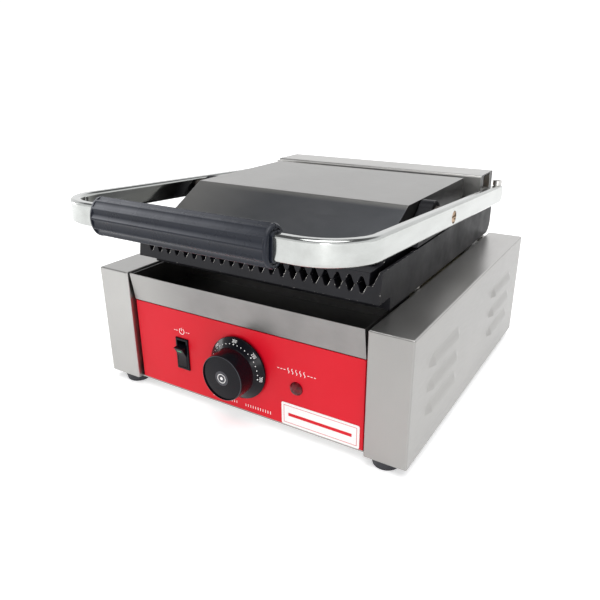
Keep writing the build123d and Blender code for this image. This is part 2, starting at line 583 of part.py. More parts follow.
with BuildPart() as lower_insulation:
    block(-102, 102, DECK_FRONT + 2, RIBS_REAR - 3, DECK_TOP, SHIELD_TOP - 1)
    rod_z(3.0, KNOB_X, CAPILLARY_TURN, DECK_TOP - 1, SHIELD_TOP, Mode.SUBTRACT)
lower_insulation.part.label = "lower_insulation"
export_step(lower_insulation.part, "parts/lower_insulation.step")

with BuildPart() as plate_standoffs:
    for x in (-PLATE_HALF + 3, PLATE_HALF - 3):
        for y in (DECK_FRONT + 12, BASE_REAR - 20):
            rod_z(2.9, x, y, DECK_TOP, SKIRT_BOTTOM)
plate_standoffs.part.label = "plate_standoffs"
export_step(plate_standoffs.part, "parts/plate_standoffs.step")

# ======== drip tray ========
RUNNER_TOP = TRAY_BOTTOM - 0.3
with BuildPart() as tray_runners:
    for side in (-1, 1):
        near, far = sorted((side * 104.0, side * PILLAR_IN))
        block(near, far, PANEL_FRONT + 12, TRAY_REAR + 2, RUNNER_TOP - SHEET, RUNNER_TOP)
        near, far = sorted((side * (PILLAR_IN - SHEET), side * PILLAR_IN))
        block(near, far, PANEL_FRONT + 12, TRAY_REAR + 2, RUNNER_TOP, RUNNER_TOP + 10)
tray_runners.part.label = "tray_runners"
export_step(tray_runners.part, "parts/tray_runners.step")

with BuildPart() as drip_tray:
    side_prism([(PANEL_FRONT, TRAY_BOTTOM), (TRAY_LIP_Y, TRAY_LIP_TOP), (TRAY_LIP_Y + TRAY_T, TRAY_LIP_TOP),
                (TRAY_LIP_Y + TRAY_T, TRAY_WALL_TOP), (TRAY_REAR, TRAY_WALL_TOP), (TRAY_REAR, TRAY_BOTTOM)],
               BAY_HALF)
    side_prism([(PANEL_FRONT + TRAY_T, TRAY_BOTTOM + TRAY_T), (TRAY_LIP_Y + TRAY_T, TRAY_LIP_TOP + 1),
                (TRAY_REAR - TRAY_T, TRAY_LIP_TOP + 1), (TRAY_REAR - TRAY_T, TRAY_BOTTOM + TRAY_T)],
               BAY_HALF - TRAY_T, Mode.SUBTRACT)
drip_tray.part.label = "drip_tray"
export_step(drip_tray.part, "parts/drip_tray.step")

# ======== rear tower ========
BUSH_R = 8.0
EYE_R = 14.5
for side, name in ((-1, "left"), (1, "right")):
    near, far = sorted((side * BRACKET_X, side * (BRACKET_X + BRACKET_T)))
    inboard, outboard = sorted((side * (BRACKET_X - 20), side * BRACKET_X))
    with BuildPart() as tower_bracket:
        block(near, far, SHAFT_Y - EYE_R, SHAFT_Y + EYE_R, DECK_TOP, SHAFT_Z)
        rod_x(EYE_R, near, far, SHAFT_Y, SHAFT_Z)
        block(inboard, outboard, SHAFT_Y - EYE_R, SHAFT_Y + EYE_R, DECK_TOP, DECK_TOP + 3)
        for y in (SHAFT_Y - 8, SHAFT_Y + 8):
            rod_z(2.5, side * (BRACKET_X - 11), y, DECK_TOP - 1, DECK_TOP + 4, Mode.SUBTRACT)
        rod_x(BUSH_R, near, far, SHAFT_Y, SHAFT_Z, Mode.SUBTRACT)
    tower_bracket.part.label = f"tower_bracket_{name}"
    export_step(tower_bracket.part, f"parts/tower_bracket_{name}.step")

with BuildPart() as bracket_bolts:
    for x in (-BRACKET_X + 11, BRACKET_X - 11):
        for y in (SHAFT_Y - 8, SHAFT_Y + 8):
            rod_z(2.4, x, y, DECK_TOP + 0.1, DECK_TOP + 3)
            rod_z(4.2, x, y, DECK_TOP + 3, DECK_TOP + 5.4)
bracket_bolts.part.label = "bracket_bolts"
export_step(bracket_bolts.part, "parts/bracket_bolts.step")

with BuildPart() as shaft_bushes:
    for side in (-1, 1):
        near, far = sorted((side * (BRACKET_X - 3), side * (BRACKET_X + BRACKET_T + 4)))
        rod_x(BUSH_R, near, far, SHAFT_Y, SHAFT_Z)
        near, far = sorted((side * (BRACKET_X + BRACKET_T), side * (BRACKET_X + BRACKET_T + 2)))
        rod_x(10.5, near, far, SHAFT_Y, SHAFT_Z)
    rod_x(SHAFT_R + RUNNING, -TOWER_HALF, TOWER_HALF, SHAFT_Y, SHAFT_Z, Mode.SUBTRACT)
shaft_bushes.part.label = "shaft_bushes"
export_step(shaft_bushes.part, "parts/shaft_bushes.step")

SPRING_IN, SPRING_OUT = 8.6, 11.0
for side, name in ((-1, "left"), (1, "right")):
    near, far = sorted((side * 60.0, side * 84.0))
    with BuildPart() as counter_spring:
        rod_x(SPRING_OUT, near, far, SHAFT_Y, SHAFT_Z)
        rod_x(SPRING_IN, near, far, SHAFT_Y, SHAFT_Z, Mode.SUBTRACT)
    counter_spring.part.label = f"counter_spring_{name}"
    export_step(counter_spring.part, f"parts/counter_spring_{name}.step")

HOOD_NECK = BAY_IN - 1.2
HOOD_SHOULDER = SIDE_TOP + 0.6
HOOD_FOOT = LIP_BOTTOM + 0.2
HOOD_RETURN = 7.0
with BuildPart() as tower_hood:
    block(-TOWER_HALF, TOWER_HALF, TOWER_FRONT, TOWER_REAR, HOOD_SHOULDER, TOWER_TOP)
    fillet(tower_hood.faces().sort_by(Axis.Z)[-1].edges().filter_by(Axis.X), 2.0)
    block(-HOOD_NECK, HOOD_NECK, TOWER_FRONT, TOWER_REAR, HOOD_FOOT, HOOD_SHOULDER)
    block(-TOWER_HALF, TOWER_HALF, TOWER_FRONT + SHEET, TOWER_REAR - SHEET, HOOD_FOOT, TOWER_TOP - SHEET,
          Mode.SUBTRACT)
    for side in (-1, 1):
        near, far = sorted((side * (TOWER_HALF - SHEET), side * TOWER_HALF))
        for y in (TOWER_FRONT + SHEET, TOWER_REAR - SHEET - HOOD_RETURN):
            block(near, far, y, y + HOOD_RETURN, HOOD_SHOULDER, TOWER_TOP - SHEET)
    for x in (-90, 90):
        rod_y(2.0, x, TOWER_REAR - SHEET, TOWER_REAR, HOOD_SHOULDER + 6, Mode.SUBTRACT)
tower_hood.part.label = "tower_hood"
export_step(tower_hood.part, "parts/tower_hood.step")

with BuildPart() as hood_screws:
    for x in (-90, 90):
        pan_screw(x, TOWER_REAR, HOOD_SHOULDER + 6, 1.2)
hood_screws.part.label = "hood_screws"
export_step(hood_screws.part, "parts/hood_screws.step")

# ======== handle ========
tilt = atan(HANDLE_SLOPE)
arm_normal = Vector(0, sin(tilt), cos(tilt))
arm_plane = Plane(origin=(0, SHAFT_Y, SHAFT_Z), x_dir=(1, 0, 0), z_dir=arm_normal)
grip_centre = arm_plane.from_local_coords((0, -HANDLE_REACH, 0))


def bar_outline():
    """The flat bar's rounded cross-section, tall along the arm plane's normal."""
    RectangleRounded(ARM_T, BAR_H, BAR_EDGE_R)


grip_back = Plane(origin=grip_centre, x_dir=(1, 0, 0), z_dir=arm_plane.y_dir)


def grip_rod(radius, low, high, mode=Mode.ADD):
    """A round bar at both grip screws, from low to high behind the middle of the grip."""
    with Locations(*[grip_back * Location((x, 0, (low + high) / 2)) for x in GRIP_SCREWS]):
        Cylinder(radius, high - low, mode=mode)


with BuildPart() as handle_bar:
    middle_x = ARM_OUT - ARM_T / 2
    tail = BAR_H / 2
    with BuildLine(arm_plane) as bar_path:
        FilletPolyline((-middle_x, tail), (-middle_x, -HANDLE_REACH), (middle_x, -HANDLE_REACH),
                       (middle_x, tail), radius=BAR_CORNER_R)
    bar_start = Plane(origin=bar_path.line @ 0, x_dir=(1, 0, 0), z_dir=bar_path.line % 0)
    with BuildSketch(bar_start) as bar_section:
        bar_outline()
    sweep(bar_section.sketch, path=bar_path.line)
    with BuildSketch(Plane.YZ) as arm_end:
        with Locations(Location((SHAFT_Y, SHAFT_Z), -degrees(tilt))):
            Rectangle(2 * tail, 4 * tail, align=(Align.MIN, Align.CENTER))
            Circle(tail, mode=Mode.SUBTRACT)
    extrude(arm_end.sketch, amount=ARM_OUT + 1, both=True, mode=Mode.SUBTRACT)
    rod_x(SHAFT_R, -SHAFT_END, SHAFT_END, SHAFT_Y, SHAFT_Z, Mode.SUBTRACT)
    rod_x(5.0, -ARM_OUT - 1, ARM_OUT + 1, PIVOT_Y, PIVOT_Z, Mode.SUBTRACT)
    with Locations(*[arm_plane * Location((x, 0, tail - 2)) for x in (-middle_x, middle_x)]):
        Cylinder(2.5, 6, mode=Mode.SUBTRACT)
    grip_rod(GRIP_SCREW_R + 0.1, -ARM_T, ARM_T, Mode.SUBTRACT)
handle_bar.part.label = "handle_bar"
export_step(handle_bar.part, "parts/handle_bar.step")

# The grip is two shells, in front of the flat bar and behind it, held together by two screws.
MOUTH_DEPTH = 1.2
SCREW_SEAT = 6.4
SCREW_TIP = -7.6
SCREW_HEAD_R = 3.5
grip_ends = (GRIP_MIDDLE - GRIP_LENGTH / 2, GRIP_MIDDLE + GRIP_LENGTH / 2)
grip_section = Location((grip_centre.Y, grip_centre.Z), -degrees(tilt))
flute_angles = [radians(360 * (i + 0.5) / GRIP_FLUTES) for i in range(GRIP_FLUTES)]
flute_places = [(FLUTE_OUT * GRIP_DEEP * cos(a), FLUTE_OUT * GRIP_TALL * sin(a)) for a in flute_angles]
for side, name in ((-1, "front"), (1, "rear")):
    with BuildPart() as grip_shell:
        with BuildSketch(Plane.YZ.offset(grip_ends[0])) as oval:
            with Locations(grip_section):
                Ellipse(GRIP_DEEP, GRIP_TALL)
        extrude(oval.sketch, amount=GRIP_LENGTH)
        fillet(grip_shell.edges().filter_by(GeomType.ELLIPSE), GRIP_SHOULDER)
        with BuildSketch(Plane.YZ.offset(grip_ends[0] + GRIP_COLLAR)) as flutes:
            with Locations(grip_section):
                with Locations(*flute_places):
                    Ellipse(FLUTE_SIZE * GRIP_DEEP, FLUTE_SIZE * GRIP_TALL)
        extrude(flutes.sketch, amount=GRIP_LENGTH - 2 * GRIP_COLLAR, mode=Mode.SUBTRACT)
        for end, outward in zip(grip_ends, (-1, 1)):
            with BuildSketch(Plane.YZ.offset(end)) as mouth_groove:
                with Locations(grip_section):
                    RectangleRounded(ARM_T + 2 * MOUTH_GROOVE, BAR_H + 2 * MOUTH_GROOVE, MOUTH_GROOVE_R)
                    RectangleRounded(ARM_T + 2 * MOUTH_LIP, BAR_H + 2 * MOUTH_LIP, MOUTH_LIP_R,
                                     mode=Mode.SUBTRACT)
            extrude(mouth_groove.sketch, amount=-outward * MOUTH_DEPTH, mode=Mode.SUBTRACT)
            with BuildSketch(Plane.YZ.offset(end)) as mouth_lip:
                with Locations(grip_section):
                    RectangleRounded(ARM_T + 2 * MOUTH_LIP, BAR_H + 2 * MOUTH_LIP, MOUTH_LIP_R)
            extrude(mouth_lip.sketch, amount=outward * MOUTH_DEPTH)
        with BuildSketch(Plane.YZ.offset(grip_ends[0] - 2 * MOUTH_DEPTH)) as hollow:
            with Locations(grip_section):
                bar_outline()
                with Locations((side * (GRIP_SEAM / 2 - 2 * GRIP_TALL), 0)):
                    Rectangle(4 * GRIP_TALL, 4 * GRIP_TALL)
        extrude(hollow.sketch, amount=GRIP_LENGTH + 4 * MOUTH_DEPTH, mode=Mode.SUBTRACT)
        if name == "rear":
            grip_rod(GRIP_SCREW_R + 0.1, 0, GRIP_DEEP, Mode.SUBTRACT)
            grip_rod(SCREW_HEAD_R + 0.2, SCREW_SEAT, GRIP_DEEP + 1, Mode.SUBTRACT)
        else:
            grip_rod(GRIP_SCREW_R, SCREW_TIP, 0, Mode.SUBTRACT)
    grip_shell.part.label = f"handle_grip_{name}"
    export_step(grip_shell.part, f"parts/handle_grip_{name}.step")

with BuildPart() as grip_screws:
    grip_rod(GRIP_SCREW_R, SCREW_TIP, SCREW_SEAT)
    grip_rod(SCREW_HEAD_R, SCREW_SEAT, SCREW_SEAT + 2.4)
    with Locations(*[grip_back * Location((x, 0, SCREW_SEAT + 2.4)) for x in GRIP_SCREWS]):
        Box(1.5 * SCREW_HEAD_R, 0.9, 2.4, mode=Mode.SUBTRACT)
        Box(0.9, 1.5 * SCREW_HEAD_R, 2.4, mode=Mode.SUBTRACT)
grip_screws.part.label = "grip_screws"
export_step(grip_screws.part, "parts/grip_screws.step")

with BuildPart() as hinge_shaft:
    rod_x(SHAFT_R, -SHAFT_END, SHAFT_END, SHAFT_Y, SHAFT_Z)
hinge_shaft.part.label = "hinge_shaft"
export_step(hinge_shaft.part, "parts/hinge_shaft.step")

with BuildPart() as shaft_collars:
    for side in (-1, 1):
        near, far = sorted((side * 86.0, side * 94.0))
        rod_x(10.5, near, far, SHAFT_Y, SHAFT_Z)
    rod_x(SHAFT_R, -SHAFT_END, SHAFT_END, SHAFT_Y, SHAFT_Z, Mode.SUBTRACT)
shaft_collars.part.label = "shaft_collars"
export_step(shaft_collars.part, "parts/shaft_collars.step")

with BuildPart() as handle_set_screws:
    for x in (-middle_x, middle_x):
        for radius, low, high in ((2.5, SHAFT_R + 0.05, tail), (4.0, tail, tail + 4.5)):
            with Locations(arm_plane * Location((x, 0, (low + high) / 2))):
                Cylinder(radius, high - low)
        with BuildSketch(arm_plane.offset(tail + 4.5)) as hex_socket:
            with Locations((x, 0)):
                RegularPolygon(2.3, 6)
        extrude(hex_socket.sketch, amount=-2.6, mode=Mode.SUBTRACT)
handle_set_screws.part.label = "handle_set_screws"
export_step(handle_set_screws.part, "parts/handle_set_screws.step")

SPACER_IN = LUG_OUT + 0.4
with BuildPart() as pivot_bolts:
    for side in (-1, 1):
        near, far = sorted((side * 101.4, side * ARM_IN))
        rod_x(PIN_R, near, far, PIVOT_Y, PIVOT_Z)
        near, far = sorted((side * ARM_IN, side * (ARM_OUT - 0.9)))
        rod_x(5.0, near, far, PIVOT_Y, PIVOT_Z)
        near, far = sorted((side * (ARM_OUT - 2.4), side * ARM_OUT))
        block(near, far, PIVOT_Y - 6, PIVOT_Y + 6, PIVOT_Z - 0.6, PIVOT_Z + 0.6, Mode.SUBTRACT)
pivot_bolts.part.label = "pivot_bolts"
export_step(pivot_bolts.part, "parts/pivot_bolts.step")

with BuildPart() as pivot_spacers:
    for side in (-1, 1):
        near, far = sorted((side * SPACER_IN, side * ARM_IN))
        rod_x(7.0, near, far, PIVOT_Y, PIVOT_Z)
    rod_x(PIN_R, -ARM_IN, ARM_IN, PIVOT_Y, PIVOT_Z, Mode.SUBTRACT)
pivot_spacers.part.label = "pivot_spacers"
export_step(pivot_spacers.part, "parts/pivot_spacers.step")

# ======== head ========
LUG_IN = COVER_HALF + 0.5
LUG_R = 11.0
PIVOT_BUSH_R = 6.0
RIM_BREAK = HEAD_FRONT + 39.0
RIM_FRONT = RIM_BREAK - (RIM_TOP - SLAB_TOP) / COVER_SLOPE
with BuildPart() as upper_grill_plate:
    with BuildSketch(Plane.XZ.offset(-HEAD_FRONT)) as upper_section:
        with BuildLine():
            ribs(UPPER_CREST, UPPER_CREST + RIB_DEPTH)
            Polyline((RIBS_HALF, UPPER_CREST), (HEAD_HALF - 0.8, UPPER_CREST), (HEAD_HALF, SLAB_TOP),
                     (-HEAD_HALF, SLAB_TOP), (-HEAD_HALF + 0.8, UPPER_CREST), (-RIBS_HALF, UPPER_CREST))
        make_face()
    extrude(upper_section.sketch, amount=-(HEAD_REAR - HEAD_FRONT))
    side_prism([(RIM_FRONT, SLAB_TOP), (RIM_BREAK, RIM_TOP), (HEAD_REAR, RIM_TOP), (HEAD_REAR, SLAB_TOP)],
               HEAD_HALF)
    block(-HEAD_HALF + RIM_T, HEAD_HALF - RIM_T, RIM_BREAK + 3, HEAD_REAR - RIM_T, SLAB_TOP, RIM_TOP,
          Mode.SUBTRACT)
    with BuildSketch(Plane.YZ.offset(LUG_IN)) as lug_profile:
        with BuildLine():
            Polyline((PIVOT_Y - 34, RIM_TOP - 8), (PIVOT_Y - 30, RIM_TOP), (PIVOT_Y - 9.5, PIVOT_Z + 5.5))
            ThreePointArc((PIVOT_Y - 9.5, PIVOT_Z + 5.5), (PIVOT_Y, PIVOT_Z + LUG_R),
                          (PIVOT_Y + 9.5, PIVOT_Z + 5.5))
            Polyline((PIVOT_Y + 9.5, PIVOT_Z + 5.5), (PIVOT_Y + 26, RIM_TOP), (PIVOT_Y + 30, RIM_TOP - 8),
                     (PIVOT_Y - 34, RIM_TOP - 8))
        make_face()
    extrude(lug_profile.sketch, amount=LUG_OUT - LUG_IN)
    extrude(mirror(lug_profile.sketch, about=Plane.YZ, mode=Mode.PRIVATE), amount=LUG_OUT - LUG_IN)
    rod_x(PIVOT_BUSH_R, -LUG_OUT - 1, LUG_OUT + 1, PIVOT_Y, PIVOT_Z, Mode.SUBTRACT)
upper_grill_plate.part.label = "upper_grill_plate"
export_step(upper_grill_plate.part, "parts/upper_grill_plate.step")

with BuildPart() as pivot_bushes:
    for side in (-1, 1):
        near, far = sorted((side * LUG_IN, side * LUG_OUT))
        rod_x(PIVOT_BUSH_R, near, far, PIVOT_Y, PIVOT_Z)
    rod_x(PIN_R + RUNNING, -LUG_OUT - 1, LUG_OUT + 1, PIVOT_Y, PIVOT_Z, Mode.SUBTRACT)
pivot_bushes.part.label = "pivot_bushes"
export_step(pivot_bushes.part, "parts/pivot_bushes.step")

# The cover is folded sheet: a sloping front, a flat top, two sides and a back.
COVER_TIP = COVER_TOP - COVER_SLOPE * (COVER_BREAK - COVER_FRONT)
slope_rise = SHEET / cos(atan(COVER_SLOPE))
COVER_HEM = 6.0
GROMMET_X, GROMMET_Z = 60.0, COVER_TOP - 9.0
with BuildPart() as upper_cover:
    hem_front = COVER_FRONT + COVER_HEM
    hem_z = COVER_TIP + 0.4 - slope_rise
    hem_end = hem_front + (COVER_BOTTOM - hem_z) / COVER_SLOPE
    side_prism([(COVER_FRONT, COVER_TIP), (COVER_BREAK, COVER_TOP), (HEAD_REAR, COVER_TOP),
                (HEAD_REAR, COVER_BOTTOM), (hem_end, COVER_BOTTOM), (hem_front, hem_z),
                (COVER_FRONT + 0.5, hem_z)], COVER_HALF)
    folds = upper_cover.edges().filter_by(Axis.X).group_by(Axis.Z)[-1]
    fillet(folds, 1.6)
    inner_low = COVER_FRONT - 20
    inner_low_z = COVER_TIP - slope_rise - 20 * COVER_SLOPE
    inner_top = COVER_TOP - SHEET
    side_prism([(inner_low, inner_low_z), (inner_low + (inner_top - inner_low_z) / COVER_SLOPE, inner_top),
                (HEAD_REAR - SHEET, inner_top), (HEAD_REAR - SHEET, inner_low_z)],
               COVER_HALF - SHEET, Mode.SUBTRACT)
    rod_y(6.0, GROMMET_X, HEAD_REAR - SHEET, HEAD_REAR, GROMMET_Z, Mode.SUBTRACT)
upper_cover.part.label = "upper_cover"
export_step(upper_cover.part, "parts/upper_cover.step")

with BuildPart() as lead_grommet:
    rod_y(7.6, GROMMET_X, HEAD_REAR, HEAD_REAR + 1.6, GROMMET_Z)
    rod_y(6.0, GROMMET_X, HEAD_REAR - SHEET, HEAD_REAR, GROMMET_Z)
    rod_y(7.6, GROMMET_X, HEAD_REAR - SHEET - 1.6, HEAD_REAR - SHEET, GROMMET_Z)
    rod_y(3.5, GROMMET_X, HEAD_REAR - 5, HEAD_REAR + 3, GROMMET_Z, Mode.SUBTRACT)
lead_grommet.part.label = "lead_grommet"
export_step(lead_grommet.part, "parts/lead_grommet.step")

UPPER_TUBE_Z = SLAB_TOP + TUBE_R + 0.05
with BuildPart() as upper_heater:
    heater(UPPER_TUBE_Z, -54, 78, 84)
upper_heater.part.label = "upper_heater"
export_step(upper_heater.part, "parts/upper_heater.step")

UPPER_STUDS = [(x, y) for x in (-36, 36) for y in (-30, 50)]
with BuildPart() as upper_heater_clamps:
    clamp_z = UPPER_TUBE_Z + TUBE_R
    for y in (-30, 50):
        block(-96, 96, y - 6, y + 6, clamp_z, clamp_z + 1.6)
    for x, y in UPPER_STUDS:
        rod_z(2.1, x, y, clamp_z - 1, clamp_z + 2, Mode.SUBTRACT)
upper_heater_clamps.part.label = "upper_heater_clamps"
export_step(upper_heater_clamps.part, "parts/upper_heater_clamps.step")

with BuildPart() as cover_studs:
    for x, y in UPPER_STUDS:
        rod_z(2.0, x, y, SLAB_TOP, UPPER_TUBE_Z + TUBE_R + 7)
cover_studs.part.label = "cover_studs"
export_step(cover_studs.part, "parts/cover_studs.step")

with BuildPart() as upper_insulation:
    mat_bottom = UPPER_TUBE_Z + TUBE_R + 1.7
    block(-92, 92, RIM_BREAK + 27, HEAD_REAR - RIM_T - 4, mat_bottom, COVER_TOP - SHEET - 4)
    for x, y in UPPER_STUDS:
        rod_z(2.3, x, y, mat_bottom - 1, UPPER_TUBE_Z + TUBE_R + 7.2, Mode.SUBTRACT)
upper_insulation.part.label = "upper_insulation"
export_step(upper_insulation.part, "parts/upper_insulation.step")
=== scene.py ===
import json
from math import atan2, cos, pi, radians, sin

import bmesh
import bpy
from mathutils import Matrix, Quaternion, Vector

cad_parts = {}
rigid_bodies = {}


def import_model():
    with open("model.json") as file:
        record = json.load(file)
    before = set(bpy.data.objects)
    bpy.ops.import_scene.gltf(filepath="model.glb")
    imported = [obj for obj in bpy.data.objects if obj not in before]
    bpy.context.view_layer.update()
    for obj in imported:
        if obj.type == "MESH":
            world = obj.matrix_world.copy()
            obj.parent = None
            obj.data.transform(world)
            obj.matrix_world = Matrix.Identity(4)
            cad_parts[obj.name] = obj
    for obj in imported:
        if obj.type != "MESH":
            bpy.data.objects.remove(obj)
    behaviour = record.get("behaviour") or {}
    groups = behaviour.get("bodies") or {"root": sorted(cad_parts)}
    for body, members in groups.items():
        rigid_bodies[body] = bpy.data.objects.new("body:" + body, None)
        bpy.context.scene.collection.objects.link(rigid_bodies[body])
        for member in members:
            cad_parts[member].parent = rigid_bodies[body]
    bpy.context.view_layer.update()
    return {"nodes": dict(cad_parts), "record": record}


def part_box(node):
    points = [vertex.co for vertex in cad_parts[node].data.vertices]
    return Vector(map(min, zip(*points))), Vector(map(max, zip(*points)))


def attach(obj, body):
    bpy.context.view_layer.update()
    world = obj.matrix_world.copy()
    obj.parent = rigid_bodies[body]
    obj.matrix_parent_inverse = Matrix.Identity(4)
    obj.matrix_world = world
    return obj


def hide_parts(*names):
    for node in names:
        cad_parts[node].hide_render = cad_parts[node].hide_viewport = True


# Panini press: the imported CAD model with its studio, its finishes and its fine detail.
# Metres, in the frame of the CAD model. Lengths below that end in * MM are millimetres.

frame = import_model()

MM = 0.001
X_AXIS, Y_AXIS, Z_AXIS = Vector((1, 0, 0)), Vector((0, 1, 0)), Vector((0, 0, 1))


# ---- studio ----
CAMERA_PLACE = Vector((264.11, -445.18, 272.11)) * MM
CAMERA_AZIMUTH, CAMERA_ELEVATION, CAMERA_ROLL = 31.943, 21.695, -0.351
CAMERA_LENS, CAMERA_SENSOR = 36.037, 36.0
WALL_TONE = (0.95, 0.95, 0.95)
ZENITH_TONE = (0.30, 0.31, 0.33)
ROOM_BANDS = ((0.44, 0.95), (0.62, 0.16), (0.85, 0.12))
ROOM_STRENGTH = 1.12
FLOOR_SIZE = 12.0
FLOOR_GLOW = 0.46
WINDOW_SIZE, WINDOW_POWER = 0.42, 3.6
WINDOW_TARGET = Vector((0, -0.1, 0.05))


def look_from(holder, direction, roll=0.0):
    """Turns a camera or a light so that it looks back along a direction."""
    holder.rotation_mode = "QUATERNION"
    holder.rotation_quaternion = direction.to_track_quat("Z", "Y") @ Quaternion(Z_AXIS, radians(roll))
    bpy.context.scene.collection.objects.link(holder)


def add_camera():
    """To the right of the front and a little above the cover."""
    azimuth, elevation = radians(CAMERA_AZIMUTH), radians(CAMERA_ELEVATION)
    data = bpy.data.cameras.new("camera")
    data.sensor_width = CAMERA_SENSOR
    data.lens = CAMERA_LENS
    data.clip_start = 0.01
    data.clip_end = 20.0
    camera = bpy.data.objects.new("camera", data)
    camera.location = CAMERA_PLACE
    back = Vector((sin(azimuth) * cos(elevation), -cos(azimuth) * cos(elevation), sin(elevation)))
    look_from(camera, back, CAMERA_ROLL)
    bpy.context.scene.camera = camera


def add_world():
    """A pale room: bright walls round the table and a dim ceiling."""
    world = bpy.data.worlds.new("studio")
    world.use_nodes = True
    tree = world.node_tree
    direction = tree.nodes.new("ShaderNodeTexCoord")
    parts = tree.nodes.new("ShaderNodeSeparateXYZ")
    ramp = tree.nodes.new("ShaderNodeValToRGB")
    tree.links.new(direction.outputs["Generated"], parts.inputs[0])
    tree.links.new(parts.outputs["Z"], ramp.inputs["Fac"])
    tree.links.new(ramp.outputs["Color"], tree.nodes["Background"].inputs["Color"])
    stops = ramp.color_ramp.elements
    stops[0].color = (*WALL_TONE, 1)
    stops[1].color = (*ZENITH_TONE, 1)
    for height, level in ROOM_BANDS:
        stops.new(height).color = (level, level, level * 1.02, 1)
    tree.nodes["Background"].inputs["Strength"].default_value = ROOM_STRENGTH
    bpy.context.scene.world = world


def add_soft_sun(name, direction, spread, strength):
    """One broad even light over the table. Spread is the width of its disc in degrees."""
    data = bpy.data.lights.new(name, "SUN")
    data.angle = radians(spread)
    data.energy = strength
    look_from(bpy.data.objects.new(name, data), Vector(direction))


def add_window(name, place):
    """A small soft panel far off, which shows as a bright spot on glossy parts."""
    data = bpy.data.lights.new(name, "AREA")
    data.shape = "SQUARE"
    data.size = WINDOW_SIZE
    data.energy = WINDOW_POWER
    light = bpy.data.objects.new(name, data)
    light.location = place
    look_from(light, Vector(place) - WINDOW_TARGET)


def add_floor():
    """A pale floor that glows a little, so that shadows on it stay light."""
    bpy.ops.mesh.primitive_grid_add(x_subdivisions=8, y_subdivisions=8, size=FLOOR_SIZE)
    floor = bpy.context.object
    floor.name = "floor"
    material, tree, shader = new_material("pale_floor", (0.93, 0.93, 0.93), roughness=0.9)
    shader.inputs["Specular IOR Level"].default_value = 0.1
    shader.inputs["Emission Color"].default_value = (1, 1, 1, 1)
    shader.inputs["Emission Strength"].default_value = FLOOR_GLOW
    floor.data.materials.append(material)


# ---- node material tools ----
def new_material(name, colour, metallic=0.0, roughness=0.5):
    material = bpy.data.materials.new(name)
    material.use_nodes = True
    shader = material.node_tree.nodes["Principled BSDF"]
    shader.inputs["Base Color"].default_value = (*colour, 1)
    shader.inputs["Metallic"].default_value = metallic
    shader.inputs["Roughness"].default_value = roughness
    return material, material.node_tree, shader


def coordinates(tree, output="Object"):
    """Places in the frame at rest, which stay with the piece when it moves."""
    return tree.nodes.new("ShaderNodeTexCoord").outputs[output]


def noise(tree, scale, stretch=(1, 1, 1), detail=3.0, roughness=0.55):
    mapping = tree.nodes.new("ShaderNodeMapping")
    mapping.inputs["Scale"].default_value = stretch
    texture = tree.nodes.new("ShaderNodeTexNoise")
    texture.inputs["Scale"].default_value = scale
    texture.inputs["Detail"].default_value = detail
    texture.inputs["Roughness"].default_value = roughness
    tree.links.new(coordinates(tree), mapping.inputs["Vector"])
    tree.links.new(mapping.outputs["Vector"], texture.inputs["Vector"])
    return texture.outputs["Fac"]


def remap(tree, value, low, high, to_low, to_high):
    node = tree.nodes.new("ShaderNodeMapRange")
    for socket, number in zip(node.inputs[1:5], (low, high, to_low, to_high)):
        socket.default_value = number
    tree.links.new(value, node.inputs["Value"])
    return node.outputs["Result"]


def blend_values(tree, factor, first, second):
    node = tree.nodes.new("ShaderNodeMix")
    tree.links.new(factor, node.inputs["Factor"])
    tree.links.new(first, node.inputs["A"])
    tree.links.new(second, node.inputs["B"])
    return node.outputs["Result"]


def two_colours(tree, factor, first, second, start, end):
    ramp = tree.nodes.new("ShaderNodeValToRGB")
    ramp.color_ramp.elements[0].position = start
    ramp.color_ramp.elements[0].color = (*first, 1)
    ramp.color_ramp.elements[1].position = end
    ramp.color_ramp.elements[1].color = (*second, 1)
    tree.links.new(factor, ramp.inputs["Fac"])
    return ramp.outputs["Color"]


def add_bump(tree, shader, height, distance, strength):
    """Adds to whatever bump the shader already has."""
    node = tree.nodes.new("ShaderNodeBump")
    node.inputs["Strength"].default_value = strength
    node.inputs["Distance"].default_value = distance
    tree.links.new(height, node.inputs["Height"])
    if shader.inputs["Normal"].links:
        tree.links.new(shader.inputs["Normal"].links[0].from_socket, node.inputs["Normal"])
    tree.links.new(node.outputs["Normal"], shader.inputs["Normal"])


def dot_product(tree, vector, axis):
    node = tree.nodes.new("ShaderNodeVectorMath")
    node.operation = "DOT_PRODUCT"
    node.inputs[1].default_value = axis
    tree.links.new(vector, node.inputs[0])
    return node.outputs["Value"]


def faces_toward(tree, axis, start, end):
    """0 to 1 as a face turns towards an axis. Start and end are cosines."""
    return remap(tree, dot_product(tree, coordinates(tree, "Normal"), axis), start, end, 0.0, 1.0)


def faces_along(tree, axis):
    """1 on faces that look along an axis, either way, and 0 elsewhere."""
    size = tree.nodes.new("ShaderNodeMath")
    size.operation = "ABSOLUTE"
    tree.links.new(dot_product(tree, coordinates(tree, "Normal"), axis), size.inputs[0])
    return remap(tree, size.outputs[0], 0.6, 0.8, 0.0, 1.0)


def along_axis(tree, axis, start, end):
    """0 to 1 from one place along an axis to another."""
    return remap(tree, dot_product(tree, coordinates(tree), axis), start, end, 0.0, 1.0)


def product(tree, first, second):
    node = tree.nodes.new("ShaderNodeMath")
    node.operation = "MULTIPLY"
    tree.links.new(first, node.inputs[0])
    tree.links.new(second, node.inputs[1])
    return node.outputs[0]


def colour_mix(tree, factor, first):
    """A mix node with its factor and first colour set. Its input B is left to the caller."""
    node = tree.nodes.new("ShaderNodeMix")
    node.data_type = "RGBA"
    tree.links.new(factor, node.inputs["Factor"])
    tree.links.new(first, node.inputs["A"])
    return node


